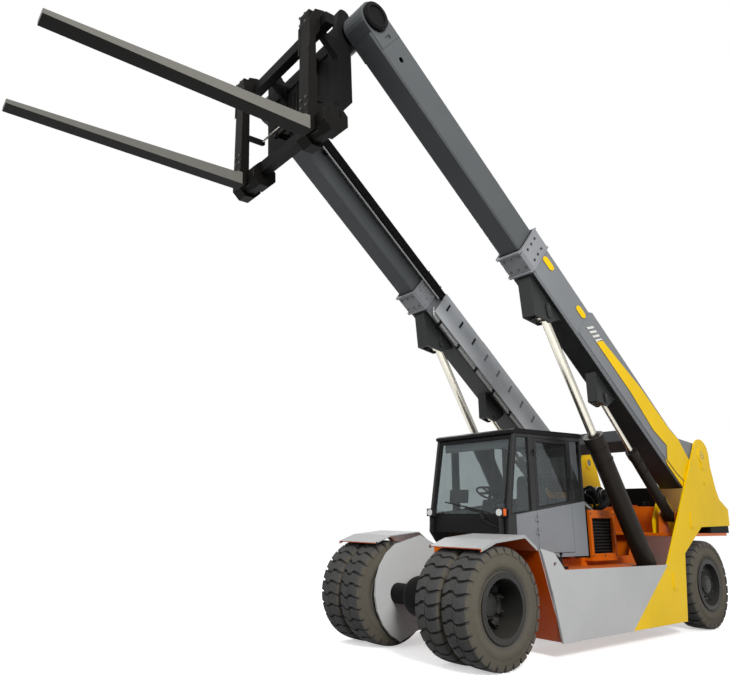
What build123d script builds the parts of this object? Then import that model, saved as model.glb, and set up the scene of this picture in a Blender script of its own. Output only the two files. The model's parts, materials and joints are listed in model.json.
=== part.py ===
from build123d import *
import math
import os

os.makedirs("parts", exist_ok=True)

# Twin-boom telescopic handler. Millimetres. Drawn with the front axle over the origin,
# +X forward, +Y to the left, +Z up, floor at z = 0; put() then moves every piece back by MID_X
# so that the row's origin is under the middle of the whole machine.

# Wheels and axles
TYRE_R = 612.5
TYRE_W = 345
DUAL_GAP = 50
RIM_R = 350
SEAT_R = 305
FRONT_FACE = 1231
REAR_FACE = 1247
WHEELBASE = 4620
AXLE_Z = TYRE_R
FIT = 0.05
SEAT = 0.3

# Side plates and frame. Rear pieces are placed from the rear axle, so that they go with the wheelbase
REAR = -WHEELBASE
SIDE_OUT = 1235
SIDE_T = 25
SIDE_IN = SIDE_OUT - SIDE_T
RAIL_OUT = 468
RAIL_T = 28
RAIL_IN = RAIL_OUT - RAIL_T
BOOM_Y = SIDE_OUT - 235
TOWER_OUT = BOOM_Y - 215
TOWER_T = 28
DECK_Z = 1290
DECK_T = 40

# Booms: lengths along the boom line from the pivot, heights across it
LIFT_ANGLE = 38.2
PIVOT = (REAR - 280, 2500)
PIVOT_R = 60
OUTER_W = 370
OUTER_H = 500
OUTER_T = 14
OUTER_MID = -550
OUTER_S0 = 170
OUTER_S1 = 4760
PAD_GAP = 13
PAD_GAP_Z = 21
INNER_W = OUTER_W - 2 * OUTER_T - 2 * PAD_GAP
INNER_H = OUTER_H - 2 * OUTER_T - 2 * PAD_GAP_Z
INNER_T = 12
INNER_S0 = 2600
HEAD_S = 8034
HEAD_T = OUTER_MID
CHAMFER = 28

# Cylinders: pins on the booms (along, across) and feet on the frame (x, z)
LIFT_PIN = (3807, -935)
COMP_PIN = (2230, -966)
LIFT_FOOT = (REAR + 1000, 450)
COMP_FOOT = (REAR + 470, 1560)

# Cab
CAB_Y = 680
CAB_WALL = 40
CAB_FLOOR = 1040
CAB_REAR = -2440

# Carriage, drawn upright about the head shaft and then tipped forward
FORK_TILT = 3.2
FORK_REACH = 3231
FORK_TOP = -1375

COS = math.cos(math.radians(LIFT_ANGLE))
SIN = math.sin(math.radians(LIFT_ANGLE))


def on_boom(s, t):
    """A place (x, z) in the machine, from one along and across the boom line."""
    return (PIVOT[0] + s * COS - t * SIN, PIVOT[1] + s * SIN + t * COS)


HEAD = on_boom(HEAD_S, HEAD_T)
LIFT_TOP = on_boom(*LIFT_PIN)
COMP_TOP = on_boom(*COMP_PIN)
FORK_TIP_X = HEAD[0] + FORK_REACH
REAR_X = REAR - 970
MID_X = (FORK_TIP_X + REAR_X) / 2
BOOM = Pos(PIVOT[0], 0, PIVOT[1]) * Rot(0, -LIFT_ANGLE, 0)
CARRIAGE = Pos(HEAD[0], 0, HEAD[1]) * Rot(0, FORK_TILT, 0)

NODES = {}


def put(name, *solids):
    NODES.setdefault(name, []).extend(solids)


def slab(points, y0, y1):
    """A plate of the outline (x, z), from y0 to y1."""
    wire = Polyline(*[(x, y0, z) for x, z in points], close=True)
    return extrude(make_face(wire), amount=y1 - y0, dir=(0, 1, 0))


def box(x0, x1, y0, y1, z0, z1):
    return Pos((x0 + x1) / 2, (y0 + y1) / 2, (z0 + z1) / 2) * Box(x1 - x0, y1 - y0, z1 - z0)


def rod_y(x, z, r, y0, y1):
    return Pos(x, (y0 + y1) / 2, z) * Rot(90, 0, 0) * Cylinder(r, y1 - y0)


def rod_z(x, y, r, z0, z1):
    return Pos(x, y, (z0 + z1) / 2) * Cylinder(r, z1 - z0)


def turned_y(profile, x, z):
    """A body of revolution about the y line through (x, z); profile is (radius, y)."""
    wire = Polyline(*[(x + r, y, z) for r, y in profile], close=True)
    return revolve(make_face(wire), Axis((x, 0, z), (0, 1, 0)), 360)


def mirror_y(shape):
    return mirror(shape, about=Plane.XZ)


def arc_points(cx, cz, r, a0, a1, n):
    return [(cx + r * math.cos(math.radians(a0 + (a1 - a0) * i / n)),
             cz + r * math.sin(math.radians(a0 + (a1 - a0) * i / n))) for i in range(n + 1)]


# wheels
LUGS = 28
LUG_H = 28
LUG_GAP = 0.30


def ring(r, y, x):
    """The corners of an outline of LUGS sides about an axle, whose flats stand r from it."""
    out = []
    for k in range(LUGS):
        a = 2 * math.pi * (k + 0.5) / LUGS
        out.append((x + r / math.cos(math.pi / LUGS) * math.cos(a), y, AXLE_Z + r / math.cos(math.pi / LUGS) * math.sin(a)))
    return out


def faceted(rings):
    """A closed solid of flat faces through rings of corners, with its first and last ring closed."""
    faces = [make_face(Polyline(*rings[0], close=True)), make_face(Polyline(*rings[-1], close=True))]
    for low, high in zip(rings, rings[1:]):
        for k in range(LUGS):
            m = (k + 1) % LUGS
            faces.append(make_face(Polyline(low[k], low[m], high[m], high[k], close=True)))
    return Solid(Shell([f.face() for f in faces]))


def tyre(y0, x):
    """A faceted carcass through rings (radius, place across), with lugs across its tread."""
    w = TYRE_W
    half = [(RIM_R + 12, 26), (RIM_R + 130, 0), (TYRE_R - 45, 6), (TYRE_R - LUG_H, 34)]
    stations = [(r, y0 + h) for r, h in half] + [(r, y0 + w - h) for r, h in reversed(half)]
    carcass = faceted([ring(r, y, x) for r, y in stations])
    teeth = []
    for k in range(LUGS):
        for share, r in ((-0.5 + LUG_GAP / 2, TYRE_R - LUG_H), (-0.5 + LUG_GAP / 2, TYRE_R), (0.5 - LUG_GAP / 2, TYRE_R),
                         (0.5 - LUG_GAP / 2, TYRE_R - LUG_H)):
            a = 2 * math.pi * k / LUGS
            side = share * 2 * math.pi * (TYRE_R - LUG_H) / LUGS
            teeth.append((x + r * math.cos(a) - side * math.sin(a), AXLE_Z + r * math.sin(a) + side * math.cos(a)))
    tread = slab(teeth, y0 + 26, y0 + w - 26)
    bore = slab([(px, pz) for px, _, pz in ring(SEAT_R + SEAT, 0, x)], y0 - 5, y0 + w + 5)
    return (carcass + tread) - bore


def barrel(y0, x):
    w = TYRE_W
    profile = [(SEAT_R - 14, y0 + 4), (RIM_R - 4, y0 + 4), (RIM_R, y0 + 10), (RIM_R, y0 + 21.7),
               (SEAT_R, y0 + 21.7), (SEAT_R, y0 + w - 21.7), (RIM_R, y0 + w - 21.7), (RIM_R, y0 + w - 10),
               (RIM_R - 4, y0 + w - 4), (SEAT_R - 14, y0 + w - 4)]
    return turned_y(profile, x, AXLE_Z)


SPINDLE_R = 70
inner_y = FRONT_FACE - 2 * TYRE_W - DUAL_GAP
outer_y = FRONT_FACE - TYRE_W
dual_mid = FRONT_FACE - TYRE_W - DUAL_GAP / 2
for side, sign in (("left", 1), ("right", -1)):
    tyres = [tyre(inner_y, 0), tyre(outer_y, 0)]
    # deep dished discs of both rims bolted to one hub flange, hub drum with a domed cap
    dish = [(SPINDLE_R + FIT, dual_mid - 130), (190, dual_mid - 130), (190, dual_mid - 30), (SEAT_R - 8, dual_mid - 70),
            (SEAT_R - 8, dual_mid + 70), (215, dual_mid + 30), (150, dual_mid + 30), (140, dual_mid + 150),
            (105, dual_mid + 172), (0, dual_mid + 172), (0, dual_mid + 110), (SPINDLE_R + FIT, dual_mid + 110)]
    web = turned_y(dish, 0, AXLE_Z)
    rims = barrel(inner_y, 0) + barrel(outer_y, 0) + web
    for k in range(10):
        a = math.radians(36 * k)
        rims = rims + rod_y(182 * math.cos(a), AXLE_Z + 182 * math.sin(a), 15, dual_mid + 28, dual_mid + 62)
    if sign < 0:
        tyres = [mirror_y(t) for t in tyres]
        rims = mirror_y(rims)
    put("front_tyres_" + side, *tyres)
    put("front_rims_" + side, rims)

KING_Y = 800
KING_X = REAR
rear_y = REAR_FACE - TYRE_W
for side, sign in (("left", 1), ("right", -1)):
    t = tyre(rear_y, KING_X)
    disc = [(55 + FIT, rear_y + 60), (120, rear_y + 60), (150, rear_y + 150), (200, rear_y + 205), (SEAT_R - 8, rear_y + 215),
            (SEAT_R - 8, rear_y + 245), (205, rear_y + 262), (140, rear_y + 262), (120, rear_y + 300), (80, rear_y + 312),
            (0, rear_y + 312), (0, rear_y + 252), (55 + FIT, rear_y + 252)]
    rim = barrel(rear_y, KING_X) + turned_y(disc, KING_X, AXLE_Z)
    for k in range(10):
        a = math.radians(36 * k)
        rim = rim + rod_y(KING_X + 172 * math.cos(a), AXLE_Z + 172 * math.sin(a), 15, rear_y + 250, rear_y + 284)
    # knuckle: upright body on its kingpin, spindle out into the hub, steering arm to the rear
    knuckle = box(KING_X - 75, KING_X + 75, KING_Y - 70, KING_Y + 62, AXLE_Z - 95, AXLE_Z + 95)
    knuckle = knuckle + rod_z(KING_X, KING_Y, 40, AXLE_Z - 150, AXLE_Z + 150)
    knuckle = knuckle + rod_y(KING_X, AXLE_Z, 90, KING_Y + 60, rear_y + 52)
    knuckle = knuckle + rod_y(KING_X, AXLE_Z, 55, KING_Y + 60, rear_y + 250)
    knuckle = knuckle + box(KING_X - 200, KING_X - 60, KING_Y, KING_Y + 50, AXLE_Z - 75, AXLE_Z - 40)
    parts = [t, rim, knuckle]
    if sign < 0:
        parts = [mirror_y(p) for p in parts]
    put("rear_tyre_" + side, parts[0])
    put("rear_rim_" + side, parts[1])
    put("knuckle_" + side, parts[2])

# axles
drive = rod_y(0, AXLE_Z, 120, -560, 560) + Pos(0, 0, AXLE_Z) * Sphere(235)
drive = drive + rod_y(0, AXLE_Z, SPINDLE_R, -(dual_mid + 100), dual_mid + 100)
drive = drive + rod_y(0, AXLE_Z, 175, -655, -560) + rod_y(0, AXLE_Z, 175, 560, 655)
drive = drive + Pos(-320, 0, AXLE_Z) * Rot(0, 90, 0) * Cylinder(75, 300)
put("drive_axle", drive)

beam = box(KING_X - 90, KING_X + 90, -690, 690, AXLE_Z - 90, AXLE_Z + 90)
for s in (1, -1):
    y0, y1 = (690, KING_Y + 60) if s > 0 else (-KING_Y - 60, -690)
    for z0, z1 in ((AXLE_Z + 100, AXLE_Z + 150), (AXLE_Z - 150, AXLE_Z - 100)):
        ear = box(KING_X - 80, KING_X + 80, y0 - (40 if s > 0 else 0), y1 + (0 if s > 0 else 40), z0, z1)
        beam = beam + (ear - rod_z(KING_X, s * KING_Y, 40 + FIT, z0 - 5, z1 + 5))
    yy = s * 670
    beam = beam + box(KING_X - 80, KING_X + 80, yy - 20, yy + 20, AXLE_Z - 150, AXLE_Z + 150)
beam = beam + rod_y(KING_X - 165, AXLE_Z + 0, 62, -260, 260) + rod_y(KING_X - 165, AXLE_Z, 28, -560, 560)
beam = beam + box(KING_X - 170, KING_X - 80, -250, -200, AXLE_Z - 60, AXLE_Z + 60)
beam = beam + box(KING_X - 170, KING_X - 80, 200, 250, AXLE_Z - 60, AXLE_Z + 60)
# the axle swings on a long pin that the frame's cradle plates hold
beam = beam + Pos(KING_X - 80, 0, AXLE_Z + 80) * Rot(0, 90, 0) * Cylinder(75, 620)
put("steer_axle", beam)

# side plates, outline in (x, z)
PIVOT_BOSS_R = 255
SIDE_LINE = [(-960, 183), (REAR + 780, 176), (REAR + 630, 1060), (REAR + 20, 1420), (REAR - 955, 1440),
             (REAR_X, 1690), (REAR - 710, 1840), (REAR - 630, 1990), (REAR - 535, 2330)]
SIDE_LINE += arc_points(PIVOT[0], PIVOT[1], PIVOT_BOSS_R, 188, 22, 10)
SIDE_LINE += [(REAR + 1170, 925), (-1085, 945), (-900, 1135), (-640, 1190), (-690, 1090), (-830, 700)]
# lashing eyes cut through the yellow frame: place and radius
LASHING_HOLES = ((REAR - 255, 2066, 22), (REAR - 532, 1847, 18), (-899, 1012, 26))
for side, s in (("left", 1), ("right", -1)):
    plate = slab(SIDE_LINE, SIDE_IN, SIDE_OUT)
    plate = plate + box(REAR + 820, -1016, SIDE_IN - 60, SIDE_IN, 183, 203)
    plate = plate + rod_y(PIVOT[0], PIVOT[1], 120, SIDE_OUT, SIDE_OUT + 10)
    plate = plate - rod_y(PIVOT[0], PIVOT[1], PIVOT_R + FIT, SIDE_IN - 20, SIDE_OUT + 20)
    for x, z, r in LASHING_HOLES:
        plate = plate - rod_y(x, z, r, SIDE_IN - 5, SIDE_OUT + 5)
    put("side_plate_" + side, plate if s > 0 else mirror_y(plate))
    # inner boom post from the rear deck to the pivot
    post = [(REAR - 710, DECK_Z + DECK_T), (REAR + 560, DECK_Z + DECK_T), (REAR + 560, 1500)]
    post += arc_points(PIVOT[0], PIVOT[1], 200, 25, 165, 8) + [(REAR - 680, 1900)]
    inner = slab(post, TOWER_OUT - TOWER_T, TOWER_OUT)
    inner = inner + rod_y(PIVOT[0], PIVOT[1], 110, TOWER_OUT - TOWER_T - 12, TOWER_OUT - TOWER_T)
    inner = inner - rod_y(PIVOT[0], PIVOT[1], PIVOT_R + FIT, TOWER_OUT - 80, TOWER_OUT + 20)
    put("boom_post_" + side, inner if s > 0 else mirror_y(inner))

# main frame: two rails with cross plates
RAIL_FRONT = -640
RAIL_LINE = [(RAIL_FRONT, 236), (RAIL_FRONT, 1182), (-1100, 1000), (REAR + 760, 1000), (REAR + 620, DECK_Z),
             (REAR - 860, DECK_Z), (REAR - 860, 820), (REAR + 640, 820), (REAR + 770, 330), (-1050, 330)]
frame = slab(RAIL_LINE, RAIL_IN, RAIL_OUT)
frame = frame + mirror_y(slab(RAIL_LINE, RAIL_IN, RAIL_OUT))
CROSS_T = 28
CROSS_PLATES = ((-1250, 335, 995), (CAB_REAR - 200, 335, 960), (REAR + 860, 335, 960),
                (REAR - 840, 830, DECK_Z), (REAR + 440, 830, DECK_Z))
for x0, z0, z1 in CROSS_PLATES:
    frame = frame + box(x0, x0 + CROSS_T, -RAIL_IN, RAIL_IN, z0, z1)
# cradle plates that hold the steering axle's long pin
AXLE_PIN_R = 75
AXLE_PIN_Z = AXLE_Z + 80
for x0 in (REAR - 365, REAR + 150):
    cradle = box(x0, x0 + 30, -RAIL_IN, RAIL_IN, 830, DECK_Z) + box(x0, x0 + 30, -150, 150, 560, 830)
    frame = frame + (cradle - Pos(x0 + 15, 0, AXLE_PIN_Z) * Rot(0, 90, 0) * Cylinder(AXLE_PIN_R + SEAT, 60))
# cab mounts on the rails
for x0 in (-1400, CAB_REAR + 90):
    for y0 in (RAIL_OUT - 50, -RAIL_OUT - 50):
        frame = frame + box(x0, x0 + 100, y0, y0 + 100, 995, CAB_FLOOR - SEAT)
put("main_frame", frame)

# nose plates: the rails' rounded front ends between the wheels, that the drive axle is bolted through
AXLE_TUBE_R = 120
NOSE = (-260, 640, 620)
nose_line = [(RAIL_FRONT + SEAT, 240), (-300, 150)] + arc_points(*NOSE, -70, 62, 8)
nose_line += [(-400, DECK_Z), (RAIL_FRONT + SEAT, 1186)]
nose = slab(nose_line, RAIL_IN, RAIL_OUT) - rod_y(0, AXLE_Z, AXLE_TUBE_R + SEAT, RAIL_IN - 5, RAIL_OUT + 5)
put("nose_plates", nose, mirror_y(nose))

# box floors and outriggers between the rails and the side plates
for s in (1, -1):
    y0, y1 = RAIL_OUT, SIDE_IN
    wing = box(REAR + 830, -1085, y0, y1, 203, 225)
    wing = wing + box(-1110, -1085, y0, y1, 203, 900) + box(REAR + 830, REAR + 855, y0, y1, 203, 900)
    wing = wing + box(CAB_REAR - 60, CAB_REAR - 40, y0, y1, 225, 560) + box(-1800, -1085, y0, y1, 880, 900)
    # the deck leaves room for the lift cylinder, which lies down beside the cab
    wing = wing + box(REAR + 855, -1800, y0, BOOM_Y - 175, 880, 900)
    put("side_floors", wing if s > 0 else mirror_y(wing))
put("rear_deck", box(REAR - 860, REAR + 610, -SIDE_IN, SIDE_IN, DECK_Z, DECK_Z + DECK_T))

# brackets that take the cylinders' feet
LIFT_EAR = [(-140, 225), (240, 225), (90, 500), (50, 550), (-50, 550), (-100, 500)]
COMP_EAR = [(-180, DECK_Z + DECK_T), (140, DECK_Z + DECK_T), (80, 1610), (40, 1645), (-40, 1645), (-80, 1610)]
EARS = ((LIFT_FOOT[0], LIFT_EAR, 138, 165), (COMP_FOOT[0], COMP_EAR, 107, 132))
for side, s in (("left", 1), ("right", -1)):
    feet = []
    for x, line, near, far in EARS:
        for y0, y1 in ((BOOM_Y - far, BOOM_Y - near), (BOOM_Y + near, BOOM_Y + far)):
            ear = slab([(x + dx, z) for dx, z in line], y0, y1)
            feet.append(ear if s > 0 else mirror_y(ear))
    put("cylinder_brackets_" + side, *feet)

# mudguards
GUARD_LINE = [(330, 1205), (85, 1290), (-395, 1335), (-655, 1165), (-815, 705), (-1000, 190)]
GUARD_T = 12


def bent_plate(line, t, y0, y1):
    inner = []
    for i, (x, z) in enumerate(line):
        a = line[max(i - 1, 0)]
        b = line[min(i + 1, len(line) - 1)]
        dx, dz = b[0] - a[0], b[1] - a[1]
        n = math.hypot(dx, dz)
        inner.append((x - dz / n * t, z + dx / n * t))
    return slab(list(line) + inner[::-1], y0, y1)


guard = bent_plate(GUARD_LINE, GUARD_T, RAIL_OUT, SIDE_IN)
guard = guard + slab([(330, 1205), (85, 1290), (-395, 1335), (-600, 1203), (-600, 1163), (-395, 1300), (85, 1255),
                      (330, 1170)], SIDE_IN, SIDE_OUT - 10)
put("mudguards", guard, mirror_y(guard))

# engine, tanks, ballast
ENGINE_X1 = CAB_REAR - 460
ENGINE_X0 = ENGINE_X1 - 820
engine = box(ENGINE_X0, ENGINE_X1, -330, 330, 380, 1240) + box(ENGINE_X0 + 120, ENGINE_X1 - 100, -200, 200, 1240, 1600)
engine = engine + rod_z(ENGINE_X1 - 150, 260, 90, 1240, 1880) + box(ENGINE_X0 + 20, ENGINE_X0 + 220, -330, 330, 1240, 1500)
# air cleaner on its bracket, with its inlet cap
CLEANER = (ENGINE_X0 + 400, 1860)
engine = engine + rod_y(*CLEANER, 125, -80, 400) + rod_y(*CLEANER, 85, 400, 460) + rod_z(CLEANER[0] + 30, -20, 60, 1860, 2060)
engine = engine + rod_z(CLEANER[0] + 30, -20, 95, 2040, 2110)
engine = engine + box(CLEANER[0] - 70, CLEANER[0] + 70, -60, 190, 1590, CLEANER[1] - 60)
for x0 in (ENGINE_X0 + 100, ENGINE_X1 - 200):
    engine = engine + box(x0, x0 + 100, -RAIL_IN + SEAT, RAIL_IN - SEAT, 420, 480)
put("engine", engine)
RAD_X0 = CAB_REAR - 850
RAD_X1 = CAB_REAR - 220
RAD_Z0, RAD_Z1 = 1000, 1640
radiator = box(RAD_X0, RAD_X1, 520, 600, RAD_Z0, RAD_Z1) - box(RAD_X0 + 55, RAD_X1 - 55, 500, 640, RAD_Z0 + 55, RAD_Z1 - 110)
SLATS = 10
for k in range(SLATS):
    z = RAD_Z0 + 78 + 43 * k
    radiator = radiator + box(RAD_X0 + 50, RAD_X1 - 50, 535, 560, z, z + 14)
radiator = radiator + box(RAD_X0, RAD_X1, RAIL_OUT, 600, RAD_Z0 - 40, RAD_Z0)
put("radiator_guard", radiator, mirror_y(radiator))
TANK_Z0 = DECK_Z + DECK_T + SEAT
put("hydraulic_tank", box(REAR - 300, REAR + 220, -560, 560, TANK_Z0, 1720) + box(REAR - 180, REAR + 20, -150, 150, 1720, 1750))
ballast = slab([(REAR - 955, TANK_Z0), (REAR - 330, TANK_Z0), (REAR - 330, 1620), (REAR - 680, 1640), (REAR - 955, 1640)],
               -SIDE_IN + SEAT, SIDE_IN - SEAT)
ballast = ballast + slab([(REAR - 955, 1640), (REAR - 690, 1640), (REAR - 690, 2050), (REAR - 800, 2050), (REAR - 955, 1900)],
                         -750, 750)
for s in (1, -1):
    slot = box(REAR - 715, REAR - 280, TOWER_OUT - TOWER_T - 15, TOWER_OUT + SEAT, DECK_Z, 2100)
    ballast = ballast - (slot if s > 0 else mirror_y(slot))
put("counterweight", ballast)

# cab
CAB_LINE = [(-1250, CAB_FLOOR), (CAB_REAR, CAB_FLOOR), (CAB_REAR, 2610), (-985, 2560), (-800, 1500), (-790, 1330), (-900, 1200)]


def pane_frame(line, holes, y0, y1):
    wall = slab(line, y0, y1)
    for h in holes:
        wall = wall - slab(h, y0 - 5, y1 + 5)
    return wall


DOOR_F, DOOR_R = -1370, -2140
QUARTER = [(-860, 1560), (-1265, 1615), (-1265, 2530), (-1028, 2522)]
REAR_Q = [(-2172, 1730), (-2402, 1757), (-2402, 2562), (-2172, 2546)]
SIDE_WIN = [(-1375, 1625), (-2135, 1725), (-2135, 2545), (-1375, 2520)]
# left wall has the door's opening; right wall has the same windows with no door
door_gap = [(DOOR_F, 1090), (DOOR_R, 1090), (DOOR_R, 2552), (DOOR_F, 2530)]
left_wall = pane_frame(CAB_LINE, [QUARTER, REAR_Q, door_gap], CAB_Y - CAB_WALL, CAB_Y)
HINGE_Y = CAB_Y + 14
HINGE_ZS = (1320, 1480, 2300)
for z in HINGE_ZS:
    left_wall = left_wall + rod_z(DOOR_F, HINGE_Y, 12, z, z + 40) + box(DOOR_F, DOOR_F + 50, CAB_Y, CAB_Y + 8, z, z + 40)
right_wall = mirror_y(pane_frame(CAB_LINE, [QUARTER, REAR_Q, SIDE_WIN], CAB_Y - CAB_WALL, CAB_Y))
put("cab_side_left", left_wall)
put("cab_side_right", right_wall)
wi = CAB_Y - CAB_WALL


def front_strip(z0, z1, y0, y1):
    def fx(z):
        return -800 - (z - 1500) * 200 / 1080
    return slab([(fx(z0), z0), (fx(z1), z1), (fx(z1) - CAB_WALL, z1), (fx(z0) - CAB_WALL, z0)], y0, y1)


cab_front = front_strip(1500, 2545, -wi, wi) - front_strip(1565, 2500, -600, 600)
cab_front = cab_front + slab([(-800, 1500), (-790, 1330), (-900, 1200), (-1250, CAB_FLOOR), (-1300, CAB_FLOOR + 40),
                              (-930, 1220), (-830, 1340), (-840, 1500)], -wi, wi)
put("cab_front", cab_front)
cab_rear = box(CAB_REAR, CAB_REAR + CAB_WALL, -wi, wi, CAB_FLOOR + 40, 2560) - box(CAB_REAR - 5, CAB_REAR + 45, -560, 560, 1800, 2500)
put("cab_rear", cab_rear)
put("cab_floor", box(CAB_REAR, -1300, -wi, wi, CAB_FLOOR, CAB_FLOOR + 40))
roof = slab([(CAB_REAR - 30, 2611), (-965, 2562), (-960, 2600), (-1010, 2625), (CAB_REAR + 20, 2672), (CAB_REAR - 30, 2655)],
            -CAB_Y - 10, CAB_Y + 10)
roof = roof + slab([(CAB_REAR + 60, 2560), (-1040, 2540), (-1040, 2565), (CAB_REAR + 60, 2609)], -wi + 15, wi - 15)
put("cab_roof", roof)
gl = CAB_Y - 24
panes = [slab(QUARTER, gl, gl + 6), slab(REAR_Q, gl, gl + 6)]
panes += [mirror_y(slab(q, gl, gl + 6)) for q in (QUARTER, REAR_Q, SIDE_WIN)]
put("cab_glass", *panes)
front_pane = slab([(-826, 1565), (-999, 2500), (-1005, 2500), (-832, 1565)], -600, 600)
rear_pane = box(CAB_REAR + 16, CAB_REAR + 22, -560, 560, 1800, 2500)
put("cab_glass", front_pane, rear_pane)
CL = 6
door_line = [(DOOR_F - CL, 1096), (DOOR_R + CL, 1096), (DOOR_R + CL, 2546), (DOOR_F - CL, 2524)]
door_win = [(DOOR_F - 46, 1652), (DOOR_R + 42, 1742), (DOOR_R + 42, 2505), (DOOR_F - 46, 2483)]
door = pane_frame(door_line, [door_win], CAB_Y - CAB_WALL, CAB_Y) + box(DOOR_R + 20, DOOR_R + 50, CAB_Y, CAB_Y + 30, 1900, 2040)
for z in HINGE_ZS:
    door = door + rod_z(DOOR_F, HINGE_Y, 12, z + 40.3, z + 80)
    door = door + box(DOOR_F - 60, DOOR_F - 2, CAB_Y, CAB_Y + 8, z + 40.3, z + 80)
put("cab_door", door)
put("door_glass", slab(door_win, gl, gl + 6))

seat = box(-2150, -1700, -250, 250, 1400, 1500) + box(-2230, -2120, -240, 240, 1480, 2120)
seat = seat + box(-2080, -1780, -180, 180, 1080.3, 1400)
put("seat", seat)
console = slab([(-1315, 1080.3), (-1150, 1250), (-1230, 1750), (-1290, 1750), (-1400, 1080.3)], -90, 90)
wheel_loc = Pos(-1290, 0, 1830) * Rot(0, -25, 0)
console = console + wheel_loc * Torus(190, 14) + wheel_loc * Box(380, 30, 14) + Pos(-1268, 0, 1780) * Rot(0, -25, 0) * Cylinder(25, 120)
put("steering_column", console)

lamps = []
for s in (1, -1):
    lamps.append(box(-790, -730, s * 600 - 55, s * 600 + 55, 1530, 1630) + box(-789.7, -730, s * 600 - 12, s * 600 + 12, 1322, 1535))
put("work_lamps", *lamps)

# outer booms
def hexagon(w, h, c, mid, s0, s1):
    """A bar of box section with folded lower corners, in the boom's own frame."""
    y, z = w / 2, h / 2
    pts = [(-y, z), (y, z), (y, -z + c), (y - c, -z), (-y + c, -z), (-y, -z + c)]
    wire = Polyline(*[(s0, p, mid + q) for p, q in pts], close=True)
    return extrude(make_face(wire), amount=s1 - s0, dir=(1, 0, 0))


def tube(w, h, c, t, mid, s0, s1):
    return hexagon(w, h, c, mid, s0, s1) - hexagon(w - 2 * t, h - 2 * t, c - t * 0.6, mid, s0 - 5, s1 + 5)


def pad_ring(s0, s1, w0, h0, w1, h1):
    """Four wear pads that fill the space from the half sizes w0, h0 out to w1, h1."""
    pads = None
    for q in (-1, 1):
        side = box(s0, s1, *sorted((q * w0, q * w1)), OUTER_MID - 95, OUTER_MID + 95)
        cap = box(s0, s1, -65, 65, *sorted((OUTER_MID + q * h0, OUTER_MID + q * h1)))
        pads = side + cap if pads is None else pads + side + cap
    return pads


low = OUTER_MID - OUTER_H / 2
high = OUTER_MID + OUTER_H / 2
half = OUTER_W / 2
DOUBLER = 10
CLEVIS_T = 26
# one row for each cylinder: pin place, eye radius, pin radius, free width, reach forward and back, toe depth
CLEVISES = ((LIFT_PIN, 115, 45, 150, 590, 215, 250), (COMP_PIN, 85, 32, 110, 400, 150, 150))
for side, s in (("left", 1), ("right", -1)):
    body = tube(OUTER_W, OUTER_H, CHAMFER, OUTER_T, OUTER_MID, OUTER_S0, OUTER_S1)
    # raised back of the tube, and the side doublers that run down to the pivot eye
    body = body + box(OUTER_S0, 3240, -half + 30, half - 30, high, high + 50)
    skin = [(OUTER_S0 - 60, low + 120), (OUTER_S0 + 260, low + 60), (900, low + 45), (3300, low + 45), (3300, high - 20),
            (3230, high + 50), (900, high + 50), (620, high + 90)]
    skin += arc_points(0, 0, 170, 60, 200, 6) + [(-160, -250)]
    eye = [skin[0], (OUTER_S0 + 40, low + 101), (OUTER_S0 + 40, high + 90)] + arc_points(0, 0, 170, 60, 200, 6) + [(-160, -250)]
    for q in (-1, 1):
        body = body + slab(skin, *sorted((q * (half - 2), q * (half + DOUBLER))))
        body = body + slab(eye, *sorted((q * (half - OUTER_T), q * (half + DOUBLER))))
    body = body + box(OUTER_S0 - 60, OUTER_S0, -half + 12, half - 12, low + 130, high + 40)
    for s0, s1 in ((OUTER_S1 - 170, OUTER_S1 - 10), (OUTER_S1 - 1160, OUTER_S1 - 1060)):
        body = body + pad_ring(s0, s1, INNER_W / 2 + SEAT, INNER_H / 2 + SEAT, half - OUTER_T + 2, OUTER_H / 2 - OUTER_T + 2)
    body = body + rod_y(0, 0, PIVOT_R, -half - 45, half + 60)
    body = body + rod_y(0, 0, 95, -half - DOUBLER, half + DOUBLER)
    # boxed clevises for the cylinder pins, closed by a plate on their front
    for (ps, pt), r, pin_r, wide, ahead, back, toe in CLEVISES:
        tip = (ps + ahead * 0.34, pt - toe)
        ear = [(ps - back, low + 5), (ps - r, pt - 20)] + arc_points(ps, pt, r, 190, 250, 4) + [tip, (ps + ahead, low + 5)]
        for y0 in (-wide / 2 - CLEVIS_T, wide / 2):
            body = body + slab(ear, y0, y0 + CLEVIS_T)
        closing = [(ps + ahead, low + 5), tip, (tip[0] - 26, tip[1] + 4), (ps + ahead - 60, low + 5)]
        body = body + slab(closing, -wide / 2, wide / 2)
        body = body + rod_y(ps, pt, pin_r, -wide / 2 - 45, wide / 2 + 45)
    loc = BOOM * Pos(0, s * BOOM_Y, 0)
    put("outer_boom_" + side, loc * body)
    # collar: a sleeve on the tube's mouth, with a flange at each end
    c0, c1 = OUTER_S1 - 335, OUTER_S1
    sleeve = hexagon(OUTER_W + 36, OUTER_H + 36, CHAMFER + 8, OUTER_MID, c0, c1)
    for f0 in (c0, c1 - 22):
        sleeve = sleeve + hexagon(OUTER_W + 60, OUTER_H + 70, CHAMFER + 10, OUTER_MID - 12, f0, f0 + 22)
    sleeve = sleeve - hexagon(OUTER_W + 0.6, OUTER_H + 0.6, CHAMFER, OUTER_MID, c0 - 5, c1 + 5)
    put("boom_collar_" + side, loc * sleeve)

BEAM_END = BOOM_Y - half - DOUBLER
cross = box(890, 1130, -BEAM_END, BEAM_END, low + 130, high - 130)
cross = cross - box(905, 1115, -BOOM_Y, BOOM_Y, low + 145, high - 145)
put("boom_cross_beam", BOOM * cross)

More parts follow.
